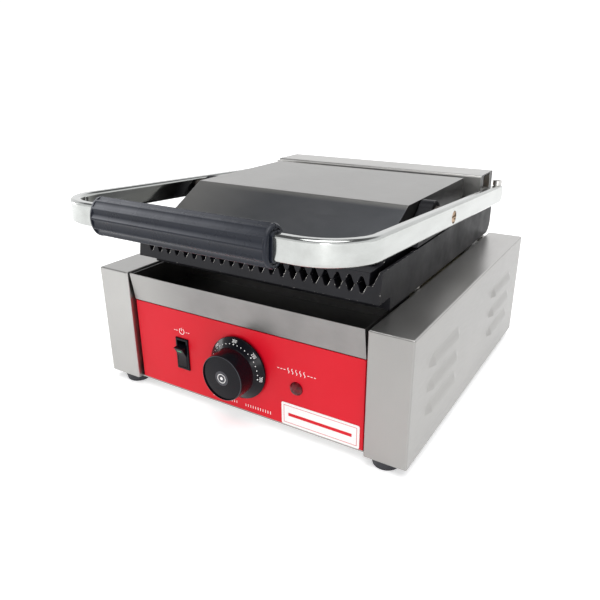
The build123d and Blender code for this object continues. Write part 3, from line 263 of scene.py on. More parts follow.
def recolour(tree, shader, factor, low, high, scale=45):
    """Turns the base colour into a mottle of two others where the factor is 1."""
    mix = colour_mix(tree, factor, shader.inputs["Base Color"].links[0].from_socket)
    mottle = two_colours(tree, noise(tree, scale, detail=4.0), low, high, 0.3, 0.75)
    tree.links.new(mottle, mix.inputs["B"])
    tree.links.new(mix.outputs["Result"], shader.inputs["Base Color"])


def grain_stretch(axis):
    """Noise scale that draws a texture out along an axis."""
    return tuple(0.025 if part else 1.0 for part in axis)


# ---- finishes ----
STEEL_COLOUR = (0.38, 0.375, 0.362)
STEEL_ROUGHNESS = 0.34
STEEL_GRAIN = 2600
BARE_IRON = (0.62, 0.60, 0.57)
TROUGH_SHADE_DEEP, TROUGH_SHADE_SOFT = (0.008, 0.008, 0.009), (0.03, 0.028, 0.026)


def brushed_steel(name, along, across, colour=STEEL_COLOUR):
    """Stainless sheet with its grain along one axis, and along another where a face cuts it."""
    material, tree, shader = new_material(name, colour, metallic=1.0)
    fine = blend_values(tree, faces_along(tree, along),
                        noise(tree, STEEL_GRAIN, grain_stretch(along), 2.0),
                        noise(tree, STEEL_GRAIN, grain_stretch(across), 2.0))
    darker = [0.90 * part for part in colour]
    tree.links.new(two_colours(tree, noise(tree, 9), darker, colour, 0.35, 0.65),
                   shader.inputs["Base Color"])
    tree.links.new(remap(tree, fine, 0.3, 0.7, STEEL_ROUGHNESS - 0.04, STEEL_ROUGHNESS + 0.05),
                   shader.inputs["Roughness"])
    add_bump(tree, shader, fine, 0.003 * MM, 0.3)
    return material


def stain_sides(material):
    """The upright sides are painted nearly black: painted shade and a painted dark reflection."""
    tree = material.node_tree
    shader = tree.nodes["Principled BSDF"]
    shader.inputs["Specular IOR Level"].default_value = 0.2
    sides = faces_along(tree, X_AXIS)
    recolour(tree, shader, sides, (0.006, 0.006, 0.007), (0.022, 0.021, 0.020))
    tree.links.new(remap(tree, sides, 0.0, 1.0, 1.0, 0.35), shader.inputs["Metallic"])
    return material


def cover_finish():
    """The slope in front of the flat top is painted darker and bluish, except near its left end: painted
    shade for the dim ceiling that it reflects.
    """
    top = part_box("upper_cover")[1].z
    material = brushed_steel("steel_cover", X_AXIS, Y_AXIS, (0.41, 0.405, 0.39))
    tree = material.node_tree
    # Painted shade: the slope darkens from its left end rightwards.
    slope = along_axis(tree, Z_AXIS, top - 1.0 * MM, top - 3.0 * MM)
    painted_shade_rightward = along_axis(tree, X_AXIS, -100 * MM, -15 * MM)
    recolour(tree, tree.nodes["Principled BSDF"], product(tree, slope, painted_shade_rightward),
             (0.17, 0.178, 0.19), (0.22, 0.225, 0.235), 20)
    return stain_sides(material)


def tray_finish():
    """Brushed outside on the front strip and its lip, painted darker away from its left end, and painted
    nearly black in the trough: both painted shade.
    """
    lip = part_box("drip_tray")[1].z
    material = brushed_steel("tray_steel", X_AXIS, Z_AXIS)
    tree = material.node_tree
    shader = tree.nodes["Principled BSDF"]
    not_front = faces_toward(tree, Y_AXIS, -0.5, -0.3)
    inside = product(tree, not_front, along_axis(tree, Z_AXIS, lip - 0.1 * MM, lip - 0.4 * MM))
    # Painted shade: darker from the left end rightwards.
    painted_shade_rightward = along_axis(tree, X_AXIS, -95 * MM, -45 * MM)
    recolour(tree, shader, painted_shade_rightward, (0.24, 0.235, 0.23), (0.28, 0.275, 0.268))
    # Painted shade: the trough is nearly black and not metallic.
    recolour(tree, shader, inside, TROUGH_SHADE_DEEP, TROUGH_SHADE_SOFT)
    tree.links.new(remap(tree, inside, 0.0, 1.0, 1.0, 0.0), shader.inputs["Metallic"])
    return material


def pale_tops(material, low, high):
    """The folded top edges are painted brighter than the sheet: painted light."""
    tree = material.node_tree
    recolour(tree, tree.nodes["Principled BSDF"], faces_along(tree, Z_AXIS), low, high, 20)
    return material


def painted_panel():
    material, tree, shader = new_material("red_enamel", (0.58, 0.003, 0.014), roughness=0.42)
    shader.inputs["Specular IOR Level"].default_value = 0.22
    mottle = noise(tree, 14, detail=3.0)
    tree.links.new(two_colours(tree, mottle, (0.56, 0.003, 0.012), (0.61, 0.004, 0.017), 0.3, 0.7),
                   shader.inputs["Base Color"])
    tree.links.new(remap(tree, noise(tree, 260), 0.3, 0.7, 0.30, 0.42), shader.inputs["Roughness"])
    add_bump(tree, shader, noise(tree, 900, detail=1.0), 0.03 * MM, 0.35)
    return material


def cast_enamel(name, chips_and_highlight=0.0):
    """Black enamelled casting, darker on its sides: painted shade. Where chips_and_highlight is above 0,
    chips show bright iron, and a large value paints a highlight as heavy chipping.
    """
    material, tree, shader = new_material(name, (0.009, 0.009, 0.011), roughness=0.42)
    grain = noise(tree, 1100, detail=3.0)
    patches = noise(tree, 38, detail=4.0, roughness=0.6)
    tree.links.new(remap(tree, faces_along(tree, X_AXIS), 0.0, 1.0, 0.24, 0.10),
                   shader.inputs["Specular IOR Level"])
    tree.links.new(remap(tree, patches, 0.3, 0.7, 0.32, 0.50), shader.inputs["Roughness"])
    dark = two_colours(tree, patches, (0.006, 0.006, 0.008), (0.013, 0.013, 0.016), 0.3, 0.75)
    if chips_and_highlight:
        chips = remap(tree, noise(tree, 420, detail=4.0, roughness=0.7), 0.62 - chips_and_highlight, 0.70 - chips_and_highlight, 0.0, 1.0)
        mix = colour_mix(tree, chips, dark)
        mix.inputs["B"].default_value = (*BARE_IRON, 1)
        dark = mix.outputs["Result"]
        tree.links.new(chips, shader.inputs["Metallic"])
    tree.links.new(dark, shader.inputs["Base Color"])
    if not chips_and_highlight:
        # Painted shade: the sides are darkened.
        sides = remap(tree, faces_along(tree, X_AXIS), 0.0, 1.0, 0.0, 0.7)
        recolour(tree, shader, sides, (0.002, 0.002, 0.003), (0.004, 0.004, 0.005))
    add_bump(tree, shader, grain, 0.05 * MM, 0.6)
    add_bump(tree, shader, patches, 0.3 * MM, 0.25)
    return material


def chrome_plate():
    material, tree, shader = new_material("chrome_plate", (0.60, 0.61, 0.60), metallic=1.0)
    smears = noise(tree, 90, (1, 0.2, 1), 4.0, 0.65)
    tree.links.new(two_colours(tree, smears, (0.43, 0.44, 0.425), (0.52, 0.535, 0.52), 0.3, 0.7),
                   shader.inputs["Base Color"])
    tree.links.new(remap(tree, smears, 0.35, 0.7, 0.09, 0.20), shader.inputs["Roughness"])
    add_bump(tree, shader, noise(tree, 30, detail=2.0), 0.25 * MM, 0.3)
    return material


def moulded(name, colour, roughness, grain=900, depth=0.03, gloss=0.4):
    """Moulded plastic or rubber with a fine texture."""
    material, tree, shader = new_material(name, colour, roughness=roughness)
    shader.inputs["Specular IOR Level"].default_value = gloss
    cloud = noise(tree, 60, detail=3.0)
    lighter = [part * 1.35 for part in colour]
    tree.links.new(two_colours(tree, cloud, colour, lighter, 0.3, 0.7), shader.inputs["Base Color"])
    tree.links.new(remap(tree, cloud, 0.3, 0.7, roughness - 0.05, roughness + 0.07),
                   shader.inputs["Roughness"])
    add_bump(tree, shader, noise(tree, grain, detail=2.0), depth * MM, 0.5)
    return material


def grip_finish():
    """Slate black, with a painted highlight: paler along the top towards the left end."""
    material = moulded("grip_phenolic", (0.008, 0.010, 0.016), 0.27, depth=0.02, gloss=0.24)
    tree = material.node_tree
    to_the_left = along_axis(tree, X_AXIS, 110 * MM, -70 * MM)
    # Painted highlight: paler where the faces look up, towards the left end.
    painted_highlight = product(tree, faces_toward(tree, Z_AXIS, 0.25, 0.65), to_the_left)
    recolour(tree, tree.nodes["Principled BSDF"], painted_highlight, (0.15, 0.155, 0.17), (0.18, 0.185, 0.20), 60)
    return material


def turned_face(name, colour, centre, roughness):
    """A face turned about an axis along Y: fine rings round its centre."""
    material, tree, shader = new_material(name, colour, roughness=roughness)
    flat = tree.nodes.new("ShaderNodeVectorMath")
    flat.operation = "MULTIPLY"
    flat.inputs[1].default_value = (1, 0, 1)
    tree.links.new(coordinates(tree), flat.inputs[0])
    distance = tree.nodes.new("ShaderNodeVectorMath")
    distance.operation = "DISTANCE"
    distance.inputs[1].default_value = (centre.x, 0, centre.z)
    tree.links.new(flat.outputs[0], distance.inputs[0])
    rings = tree.nodes.new("ShaderNodeTexNoise")
    rings.noise_dimensions = "1D"
    rings.inputs["Scale"].default_value = 3200
    tree.links.new(distance.outputs["Value"], rings.inputs["W"])
    tree.links.new(remap(tree, rings.outputs["Fac"], 0.3, 0.7, roughness - 0.06, roughness + 0.08),
                   shader.inputs["Roughness"])
    add_bump(tree, shader, rings.outputs["Fac"], 0.03 * MM, 0.6)
    return material


def plated_steel(name, colour, roughness):
    """Zinc-plated, dull or heat-darkened metal with fine mottling."""
    material, tree, shader = new_material(name, colour, metallic=1.0, roughness=roughness)
    mottle = noise(tree, 240, detail=4.0)
    darker = [part * 0.72 for part in colour]
    tree.links.new(two_colours(tree, mottle, darker, colour, 0.3, 0.65), shader.inputs["Base Color"])
    tree.links.new(remap(tree, mottle, 0.3, 0.7, roughness - 0.08, roughness + 0.1),
                   shader.inputs["Roughness"])
    add_bump(tree, shader, noise(tree, 1500, detail=2.0), 0.02 * MM, 0.5)
    return material


def wool_mat():
    material, tree, shader = new_material("wool_fibres", (0.62, 0.54, 0.33), roughness=0.95)
    fibres = noise(tree, 500, (1, 0.2, 2), 6.0, 0.8)
    tree.links.new(two_colours(tree, fibres, (0.45, 0.38, 0.21), (0.78, 0.70, 0.47), 0.3, 0.7),
                   shader.inputs["Base Color"])
    add_bump(tree, shader, fibres, 0.6 * MM, 0.9)
    return material


def glazed_ceramic():
    material, tree, shader = new_material("glazed_ceramic", (0.80, 0.76, 0.66), roughness=0.28)
    speckle = noise(tree, 180, detail=5.0)
    tree.links.new(two_colours(tree, speckle, (0.70, 0.65, 0.54), (0.84, 0.81, 0.72), 0.3, 0.6),
                   shader.inputs["Base Color"])
    tree.links.new(remap(tree, speckle, 0.3, 0.7, 0.2, 0.4), shader.inputs["Roughness"])
    add_bump(tree, shader, noise(tree, 90), 0.1 * MM, 0.3)
    return material


def lamp_red():
    material, tree, shader = new_material("lens_red", (0.12, 0.004, 0.008), roughness=0.10)
    shader.inputs["Specular IOR Level"].default_value = 0.3
    depth = noise(tree, 300, detail=2.0)
    tree.links.new(two_colours(tree, depth, (0.05, 0.001, 0.003), (0.14, 0.003, 0.008), 0.35, 0.65),
                   shader.inputs["Base Color"])
    tree.links.new(remap(tree, depth, 0.3, 0.7, 0.06, 0.16), shader.inputs["Roughness"])
    return material


def clear_glass():
    material, tree, shader = new_material("lamp_glass", (0.95, 0.90, 0.86), roughness=0.04)
    shader.inputs["Transmission Weight"].default_value = 0.85
    tree.links.new(remap(tree, noise(tree, 400), 0.3, 0.7, 0.02, 0.08), shader.inputs["Roughness"])
    return material


def printed_white(name, colour=(0.86, 0.86, 0.85)):
    """Screen-printed ink or a film label."""
    material, tree, shader = new_material(name, colour, roughness=0.45)
    ink = noise(tree, 700, detail=3.0)
    thinner = [part * 0.93 for part in colour]
    tree.links.new(two_colours(tree, ink, thinner, colour, 0.35, 0.6), shader.inputs["Base Color"])
    tree.links.new(remap(tree, ink, 0.3, 0.7, 0.38, 0.52), shader.inputs["Roughness"])
    add_bump(tree, shader, ink, 0.01 * MM, 0.4)
    return material


# ---- mesh tools ----
def add_piece(name, bm, materials, body, slot, *replaced):
    """Makes an object of a bmesh, with smooth shading between creases, and rides it on a body."""
    mesh = bpy.data.meshes.new(name)
    bm.to_mesh(mesh)
    bm.free()
    for material in materials:
        mesh.materials.append(material)
    mesh.shade_smooth()
    mesh.set_sharp_from_angle(angle=radians(38))
    piece = bpy.data.objects.new(name, mesh)
    bpy.context.scene.collection.objects.link(piece)
    level = piece.modifiers.new("even_faces", "WEIGHTED_NORMAL")
    level.keep_sharp = True
    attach(piece, body)
    if replaced:
        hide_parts(*replaced)
    return piece


def cad_copy(node):
    """The CAD node's mesh with its seams welded and its flat facets joined."""
    bm = bmesh.new()
    bm.from_mesh(frame["nodes"][node].data)
    bmesh.ops.remove_doubles(bm, verts=bm.verts, dist=0.002 * MM)
    bmesh.ops.dissolve_limit(bm, angle_limit=radians(0.3), verts=bm.verts, edges=bm.edges)
    return bm


def round_creases(bm, crease, radius, segments, material=-1):
    """Rounds every edge whose faces meet at more than the crease angle, in degrees."""
    creases = [e for e in bm.edges if len(e.link_faces) == 2 and e.calc_face_angle(0) > radians(crease)]
    bmesh.ops.bevel(bm, geom=creases, offset=radius, offset_type="OFFSET", segments=segments, profile=0.5,
                    affect="EDGES", clamp_overlap=False, loop_slide=True, material=material)


def softened(node, name, radius, material, slot, body, segments=2, crease=30):
    """A copy of a CAD node with a small radius on every crease."""
    bm = cad_copy(node)
    round_creases(bm, crease, radius, segments)
    add_piece(name, bm, [material], body, slot, node)


def middle_of(node):
    low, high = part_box(node)
    return (low + high) / 2


def finish_node(node, material):
    """Gives a CAD node that stays its finish."""
    slots = frame["nodes"][node].data.materials
    slots.clear()
    slots.append(material)


def tube(bm, points, radius, closed=False, sides=2):
    """Adds a round bar along points to a bmesh."""
    curve = bpy.data.curves.new("route", "CURVE")
    curve.dimensions = "3D"
    curve.bevel_depth = radius
    curve.bevel_resolution = sides
    curve.use_fill_caps = True
    spline = curve.splines.new("POLY")
    spline.points.add(len(points) - 1)
    for point, place in zip(spline.points, points):
        point.co = (*place, 1)
    spline.use_cyclic_u = closed
    holder = bpy.data.objects.new("route", curve)
    mesh = bpy.data.meshes.new_from_object(holder)
    bm.from_mesh(mesh)
    for used, store in ((holder, bpy.data.objects), (curve, bpy.data.curves), (mesh, bpy.data.meshes)):
        store.remove(used)


def glyphs(text, size, depth):
    """The mesh of a short text in its own XY plane, centred across."""
    curve = bpy.data.curves.new("glyphs", "FONT")
    curve.body = text
    curve.size = size
    curve.extrude = depth
    curve.align_x = "CENTER"
    curve.resolution_u = 3
    holder = bpy.data.objects.new("glyphs", curve)
    mesh = bpy.data.meshes.new_from_object(holder)
    bpy.data.objects.remove(holder)
    bpy.data.curves.remove(curve)
    return mesh


def lathe(outline, centre, front, segments):
    """Turns a closed outline of (radius, depth) about an axis along Y. Depth runs from front to back."""
    bm = bmesh.new()
    rings = []
    for step in range(segments):
        angle = 2 * pi * step / segments
        rings.append([bm.verts.new((centre.x + r * cos(angle), front + depth, centre.z + r * sin(angle)))
                      for r, depth in outline])
    for step in range(segments):
        here, there = rings[step], rings[(step + 1) % segments]
        for i in range(len(outline)):
            j = (i + 1) % len(outline)
            if outline[i][0] or outline[j][0]:
                bm.faces.new((here[i], there[i], there[j], here[j]))
    bmesh.ops.remove_doubles(bm, verts=bm.verts, dist=0.001 * MM)
    bmesh.ops.recalc_face_normals(bm, faces=bm.faces)
    return bm


def arc(centre, radius, start, end, steps):
    """Points of a round stretch of an outline, angles in degrees."""
    angles = [radians(start + (end - start) * i / steps) for i in range(steps + 1)]
    return [(centre[0] + radius * cos(a), centre[1] + radius * sin(a)) for a in angles]


def press_flat(bm, thickness, y):
    """Squashes lines drawn round Y = 0 into a film of print that lies at y."""
    bmesh.ops.scale(bm, vec=(1, thickness, 1), verts=bm.verts)
    bmesh.ops.translate(bm, vec=(0, y, 0), verts=bm.verts)


# ---- side housings. The louvres' sizes and places are millimetres. ----
LOUVRE_LENGTH, LOUVRE_H, LOUVRE_OUT, LOUVRE_SKIN = 67.0, 9.0, 2.5, 0.9
LOUVRE_COLUMNS = (-53.5, 100.5)
LOUVRE_ROWS = (36.5, 55.5, 74.5)
LOUVRE_MARGIN = 0.5
LOUVRE_LIFT = 0.03
LOUVRE_STEPS, LOUVRE_RINGS = 8, 12
BEND_R = 0.45 * MM
SHEET = 1.2 * MM


def louvre_hood(bm, plane_x, outward, y, z):
    """A pressed hood: furthest out at its open lower edge, and flush with the sheet round the rest."""
    run = LOUVRE_LENGTH / 2 - LOUVRE_H
    quarter = [pi / 2 * i / LOUVRE_STEPS for i in range(LOUVRE_STEPS + 1)]
    spokes = [(-run, pi - turn) for turn in quarter]
    spokes += [(-run + 2 * run * i / LOUVRE_STEPS, pi / 2) for i in range(1, LOUVRE_STEPS)]
    spokes += [(run, pi / 2 - turn) for turn in quarter]
    grid = []
    for middle, angle in spokes:
        row = []
        for k in range(LOUVRE_RINGS + 1):
            share = k / LOUVRE_RINGS
            swell = 1 - share * share * (3 - 2 * share)
            reach = share * (LOUVRE_H + LOUVRE_MARGIN)
            out = LOUVRE_OUT * swell + LOUVRE_LIFT
            row.append(bm.verts.new((plane_x + outward * out * MM, (y + middle + reach * cos(angle)) * MM,
                                     (z + reach * sin(angle)) * MM)))
        grid.append(row)
    faces = []
    for first, second in zip(grid, grid[1:]):
        for k in range(LOUVRE_RINGS):
            faces.append(bm.faces.new((first[k], second[k], second[k + 1], first[k + 1])))
    bmesh.ops.remove_doubles(bm, verts=[v for row in grid for v in row], dist=0.001 * MM)
    faces = [face for face in faces if face.is_valid]
    bmesh.ops.recalc_face_normals(bm, faces=faces)
    if sum(face.normal.x for face in faces) * outward < 0:
        bmesh.ops.reverse_faces(bm, faces=faces)
    bmesh.ops.solidify(bm, geom=faces, thickness=LOUVRE_SKIN * MM)


def add_side_housing(side_name, outward, steel):
    """The folded sheet with rounded bends. Its own louvres give way to smooth pressed ones."""
    node = "side_housing_" + side_name
    plane_x = outward * (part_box("base_pan")[1].x + SHEET)
    bm = cad_copy(node)
    hoods = [v for v in bm.verts if outward * (v.co.x - plane_x) > 0.05 * MM]
    bmesh.ops.delete(bm, geom=hoods, context="VERTS")
    round_creases(bm, 50, BEND_R, 3)
    for y in LOUVRE_COLUMNS:
        for z in LOUVRE_ROWS:
            louvre_hood(bm, plane_x, outward, y, z)
    add_piece(node + "_sheet", bm, [steel], "base", "brushed_steel", node)


# ---- knob. Lengths are millimetres and depths run back from the panel's face. ----
KNOB_FACE = -22.85
KNOB_DOME_R = 180.0
KNOB_RIM_R = 0.85
KNOB_RIM_AT = (17.95, -22.15)
BARREL_FOOT = (19.48, -9.2)
SKIRT_TOP, SKIRT_EDGE = (19.75, -8.45), (26.0, -3.42)
SKIRT_LIP_R = 0.6
SKIRT_LIP_AT = (25.8, -2.8)
KNOB_BACK = [(26.4, -1.9), (26.1, -1.6), (23, -1.0), (3.05, -1.0), (3.05, -16.0), (0, -16.0)]
KNOB_SEGMENTS = 128
DOTS_AT_R, DOT_R, LARGE_DOT_R = 22.1, 0.42, 0.55
NUMBERS_AT_R, NUMBERS_MIDDLE_R, NUMBER_SIZE = 23.2, 24.4, 3.1
PRINT_THICK, PRINT_LIFT = 0.04, 0.03
HEATS, HEAT_PER_DOT, HEAT_PER_NUMBER, HEAT_AT_TOP = (50, 300), 10, 50, 200
DEGREES_PER_DOT = 9.6
EMBLEM_LINES = ((3.6, 0.26), (0.75, 0.5))


def add_knob(plastic):
    """A turned knob with a face slightly domed inside its rim, on a skirt that carries the numbers."""
    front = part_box("control_panel")[0].y
    centre = middle_of("knob")
    outline = arc((0, KNOB_FACE + KNOB_DOME_R), KNOB_DOME_R, -90, -84.25, 6)
    outline += arc(KNOB_RIM_AT, KNOB_RIM_R, -80, 0, 5)
    outline += [BARREL_FOOT, SKIRT_TOP, SKIRT_EDGE]
    outline += arc(SKIRT_LIP_AT, SKIRT_LIP_R, -50, 0, 4)
    outline += KNOB_BACK
    face = turned_face("knob_face", (0.022, 0.024, 0.032), centre, 0.36)
    bm = lathe([(radius * MM, depth * MM) for radius, depth in outline], centre, front, KNOB_SEGMENTS)
    for polygon in bm.faces:
        if polygon.calc_center_median().y < front + (KNOB_FACE + 0.15) * MM:
            polygon.material_index = 1
    add_piece("knob_turned", bm, [plastic, face], "knob", "black_plastic", "knob")
    return centre, front


def dial_point(centre, front, radius, angle, lift):
    """A place on the knob's conical skirt. The angle is clockwise from the top."""
    inner = Vector(SKIRT_TOP)
    slope = (Vector(SKIRT_EDGE) - inner).normalized()
    base = inner + slope * ((radius - inner.x) / slope.x) + Vector((slope.y, -slope.x)) * lift
    return Vector((centre.x + base.x * sin(angle) * MM, front + base.y * MM,
                   centre.z + base.x * cos(angle) * MM))


def dial_angle(heat):
    return radians((heat - HEAT_AT_TOP) / HEAT_PER_DOT * DEGREES_PER_DOT)


def add_dial(centre, front, ink):
    """White numbers every 50 degrees of heat and a dot every 10."""
    bm = bmesh.new()
    low, high = HEATS
    for heat in range(low, high + 1, HEAT_PER_DOT):
        angle = dial_angle(heat)
        radius = DOT_R if heat % HEAT_PER_NUMBER else LARGE_DOT_R
        spot = dial_point(centre, front, DOTS_AT_R, angle, 0.02)
        outward = dial_point(centre, front, DOTS_AT_R, angle, 1.02) - spot
        turn = outward.normalized().to_track_quat("Z", "Y").to_matrix().to_4x4()
        bmesh.ops.create_cone(bm, cap_ends=True, segments=16, radius1=radius * MM, radius2=radius * 0.9 * MM,
                              depth=2 * PRINT_THICK * MM, matrix=Matrix.Translation(spot) @ turn)
    for heat in range(low, high + 1, HEAT_PER_NUMBER):
        mesh = glyphs(str(heat), NUMBER_SIZE, PRINT_THICK)
        for vertex in mesh.vertices:
            x, y, z = vertex.co
            angle = dial_angle(heat) + x / NUMBERS_MIDDLE_R
            vertex.co = dial_point(centre, front, NUMBERS_AT_R + y * 0.9, angle, PRINT_LIFT + z)
        bm.from_mesh(mesh)
        bpy.data.meshes.remove(mesh)
    add_piece("dial_numbers", bm, [ink], "knob", "white_label")


def add_knob_emblem(centre, front, ink):
    """A plain ring and dot printed in the middle of the knob."""
    bm = bmesh.new()
    for radius, line in EMBLEM_LINES:
        turns = [2 * pi * i / 48 for i in range(48)]
        ring = [(centre.x + radius * cos(turn) * MM, 0, centre.z + radius * sin(turn) * MM) for turn in turns]
        tube(bm, ring, line * MM, closed=True)
    press_flat(bm, 0.25, front + (KNOB_FACE - PRINT_LIFT) * MM)
    add_piece("knob_emblem", bm, [ink], "knob", "white_label")


# ---- control panel. Signs and lens are in millimetres, gaps and tilts in degrees. ----
SIGN_LINE = 0.26
POWER_SIGN_Z, POWER_SIGN_R, POWER_SIGN_GAP = 64.3, 2.6, 28
HEAT_SIGN_Z = 57.2
HEAT_WAVES = (-7.0, -3.5, 0.0, 3.5, 7.0)
SCALE_Z, SCALE_START, SCALE_STEP, SCALE_TICKS = 13.2, 4.6, 2.4, 11
LENS_SIDES = 16
LENS_RINGS = ((5.55, 0.0), (5.4, -0.9), (4.5, -1.9), (2.9, -2.6), (1.3, -2.9))
LENS_TIP = -3.0
ROCKER_TILT = 14
ROCKER_FACE_ANGLE = atan2(-2.44, 9.8)
ROCKER_WINDOW = Vector((4.6, 0.5, 1.7)) * MM
ROCKER_WINDOW_AT = Vector((0, -9.1, 6.4)) * MM


def add_panel_marks(ink):
    """Printed signs: on and off over the switch, heat over the lamp and a scale under the knob."""
    bm = bmesh.new()

    def draw(*points):
        tube(bm, [(x * MM, 0, z * MM) for x, z in points], SIGN_LINE * MM)

    def dashes(middle, z, reaches, length):
        for side in (-1, 1):
            for reach in reaches:
                draw((middle + side * reach, z), (middle + side * (reach + length), z))

    switch_x = middle_of("switch_housing").x / MM
    draw(*arc((switch_x, POWER_SIGN_Z), POWER_SIGN_R, 90 + POWER_SIGN_GAP, 450 - POWER_SIGN_GAP, 24))
    draw((switch_x, POWER_SIGN_Z + 0.4), (switch_x, POWER_SIGN_Z + 3.2))
    dashes(switch_x, POWER_SIGN_Z, (4.6, 6.9), 1.5)

    lamp_x = middle_of("lamp_lens").x / MM
    for place in HEAT_WAVES:
        draw(*[(lamp_x + place + 0.6 * sin(pi * t / 5), HEAT_SIGN_Z - 2.2 + 0.44 * t) for t in range(11)])
    dashes(lamp_x, HEAT_SIGN_Z, (9.6, 12.4, 15.2), 1.7)

    for side in (-1, 1):
        for i in range(SCALE_TICKS):
            x = side * (SCALE_START + SCALE_STEP * i)
            draw((x, SCALE_Z), (x, SCALE_Z + 2.2 + 0.05 * i))
    press_flat(bm, 0.25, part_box("control_panel")[0].y - 0.02 * MM)
    add_piece("panel_marks", bm, [ink], "base", "white_label")


def add_label_print(red):
    """The blank film label has a thin printed border and a plain band."""
    low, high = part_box("blank_label")
    inset, band_inset = 2.2 * MM, 6.2 * MM
    middle_z = (low.z + high.z) / 2
    x0, x1, z0, z1 = low.x + inset, high.x - inset, low.z + inset, high.z - inset
    bm = bmesh.new()
    tube(bm, [(x0, 0, z0), (x1, 0, z0), (x1, 0, z1), (x0, 0, z1)], 0.3 * MM, closed=True)
    tube(bm, [(low.x + band_inset, 0, middle_z), (high.x - band_inset, 0, middle_z)], 1.4 * MM)
    press_flat(bm, 0.08, low.y - 0.01 * MM)
    add_piece("label_print", bm, [red], "base", "red_paint")


def add_lens(red):
    """A cut lens: rings of flat facets, each turned half a step from the one before."""
    centre = middle_of("lamp_lens")
    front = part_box("control_panel")[0].y
    bm = bmesh.new()
    rings = []
    for level, (radius, depth) in enumerate(LENS_RINGS):
        shift = level % 2 * pi / LENS_SIDES
        angles = [shift + 2 * pi * i / LENS_SIDES for i in range(LENS_SIDES)]
        rings.append([bm.verts.new((centre.x + radius * cos(a) * MM, front + depth * MM,
                                    centre.z + radius * sin(a) * MM)) for a in angles])
    for level, (outer, inner) in enumerate(zip(rings, rings[1:])):
        for i in range(LENS_SIDES):
            j = (i + 1) % LENS_SIDES
            inner_tip, outer_tip = (j, i) if level % 2 else (i, j)
            bm.faces.new((outer[i], outer[j], inner[inner_tip]))
            bm.faces.new((inner[i], inner[j], outer[outer_tip]))
    tip = bm.verts.new((centre.x, front + LENS_TIP * MM, centre.z))
    for i in range(LENS_SIDES):
        bm.faces.new((rings[-1][i], rings[-1][(i + 1) % LENS_SIDES], tip))
    bm.faces.new(rings[0])
    bmesh.ops.recalc_face_normals(bm, faces=bm.faces)
    piece = add_piece("lamp_lens_cut", bm, [red], "base", "red_lens", "lamp_lens")
    for polygon in piece.data.polygons:
        polygon.use_smooth = False


def add_rocker_window(green):
    """A small green window in the face of the rocker, near its raised end."""
    joints = frame["record"]["behaviour"]["joints"]
    pivot = next(joint["pos_m"] for joint in joints if joint["name"] == "rocker_tilt")
    bm = bmesh.new()
    bmesh.ops.create_cube(bm, size=1.0)
    bmesh.ops.scale(bm, vec=ROCKER_WINDOW, verts=bm.verts)
    bmesh.ops.bevel(bm, geom=bm.edges[:], offset=0.2 * MM, segments=2, profile=0.5, affect="EDGES")
    bmesh.ops.rotate(bm, verts=bm.verts, matrix=Matrix.Rotation(-ROCKER_FACE_ANGLE, 3, "X"))
    bmesh.ops.translate(bm, verts=bm.verts, vec=ROCKER_WINDOW_AT)
    bm.transform(Matrix.Translation(pivot) @ Matrix.Rotation(radians(ROCKER_TILT), 4, "X"))
    add_piece("rocker_window", bm, [green], "rocker", "red_lens")


# ---- springs and castings ----
SPRING_WIRE = 1.1 * MM
SPRING_TURNS, POINTS_PER_TURN = 9, 28
CAST_EDGE_R = 0.35 * MM
EDGE_SLOT, BRIGHT_SLOT = 1, 2


def add_spring(side_name, steel):
    """A helical coil round the shaft."""
    node = "counter_spring_" + side_name
    low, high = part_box(node)
    middle = (low + high) / 2
    coil = (high.z - low.z) / 2 - SPRING_WIRE
    start, end = low.x + SPRING_WIRE, high.x - SPRING_WIRE
    steps = SPRING_TURNS * POINTS_PER_TURN
    points = []
    for i in range(steps + 1):
        angle = 2 * pi * i / POINTS_PER_TURN
        points.append((start + (end - start) * i / steps, middle.y + coil * cos(angle),
                       middle.z + coil * sin(angle)))
    bm = bmesh.new()
    tube(bm, points, SPRING_WIRE, sides=3)
    add_piece(node + "_coil", bm, [steel], "base", "spring_steel", node)


def add_castings(enamel, edges, bright):
    """Both plates get rounded creases. The right flanks of the lower grooves are bright in front: a painted
    highlight, drawn as heavy chipping.
    """
    for node, body in (("lower_grill_plate", "base"), ("upper_grill_plate", "head")):
        bm = cad_copy(node)
        round_creases(bm, 28, CAST_EDGE_R, 2, EDGE_SLOT)
        bm.normal_update()
        if node == "lower_grill_plate":
            # Painted highlight: the front flank bevels of the lower plate take the heavily chipped enamel.
            for polygon in bm.faces:
                front_flank = polygon.normal.x < -0.25 and polygon.normal.y < -0.2
                if polygon.material_index == EDGE_SLOT and front_flank:
                    polygon.material_index = BRIGHT_SLOT
        add_piece(node + "_cast", bm, [enamel, edges, bright], body, "cast_iron", node)


# ---- the whole press ----
METALS = {"zinc_steel": ("zinc_plate", (0.62, 0.61, 0.59), 0.32),
          "spring_steel": ("spring_wire", (0.22, 0.22, 0.24), 0.36),
          "bronze": ("bronze", (0.46, 0.30, 0.18), 0.34),
          "dark_steel": ("heated_steel", (0.17, 0.15, 0.14), 0.48),
          "shield_aluminium": ("shield_sheet", (0.70, 0.70, 0.71), 0.38),
          "spindle_steel": ("turned_steel", (0.66, 0.66, 0.65), 0.24)}


def slot_finishes():
    """One finish for each material slot of the record."""
    finishes = {slot: plated_steel(*metal) for slot, metal in METALS.items()}
    finishes["brushed_steel"] = brushed_steel("steel_wide", X_AXIS, Z_AXIS)
    finishes["red_paint"] = painted_panel()
    finishes["white_label"] = printed_white("white_film", (0.80, 0.80, 0.79))
    finishes["cast_iron"] = cast_enamel("cast_enamel")
    finishes["chrome"] = chrome_plate()
    finishes["grip_black"] = grip_finish()
    finishes["black_plastic"] = moulded("black_plastic", (0.003, 0.003, 0.005), 0.20, gloss=0.16)
    finishes["rubber"] = moulded("black_rubber", (0.016, 0.016, 0.020), 0.62, grain=600, depth=0.08)
    finishes["mineral_wool"] = wool_mat()
    finishes["ceramic"] = glazed_ceramic()
    finishes["red_lens"] = lamp_red()
    finishes["lamp_glass"] = clear_glass()
    return finishes


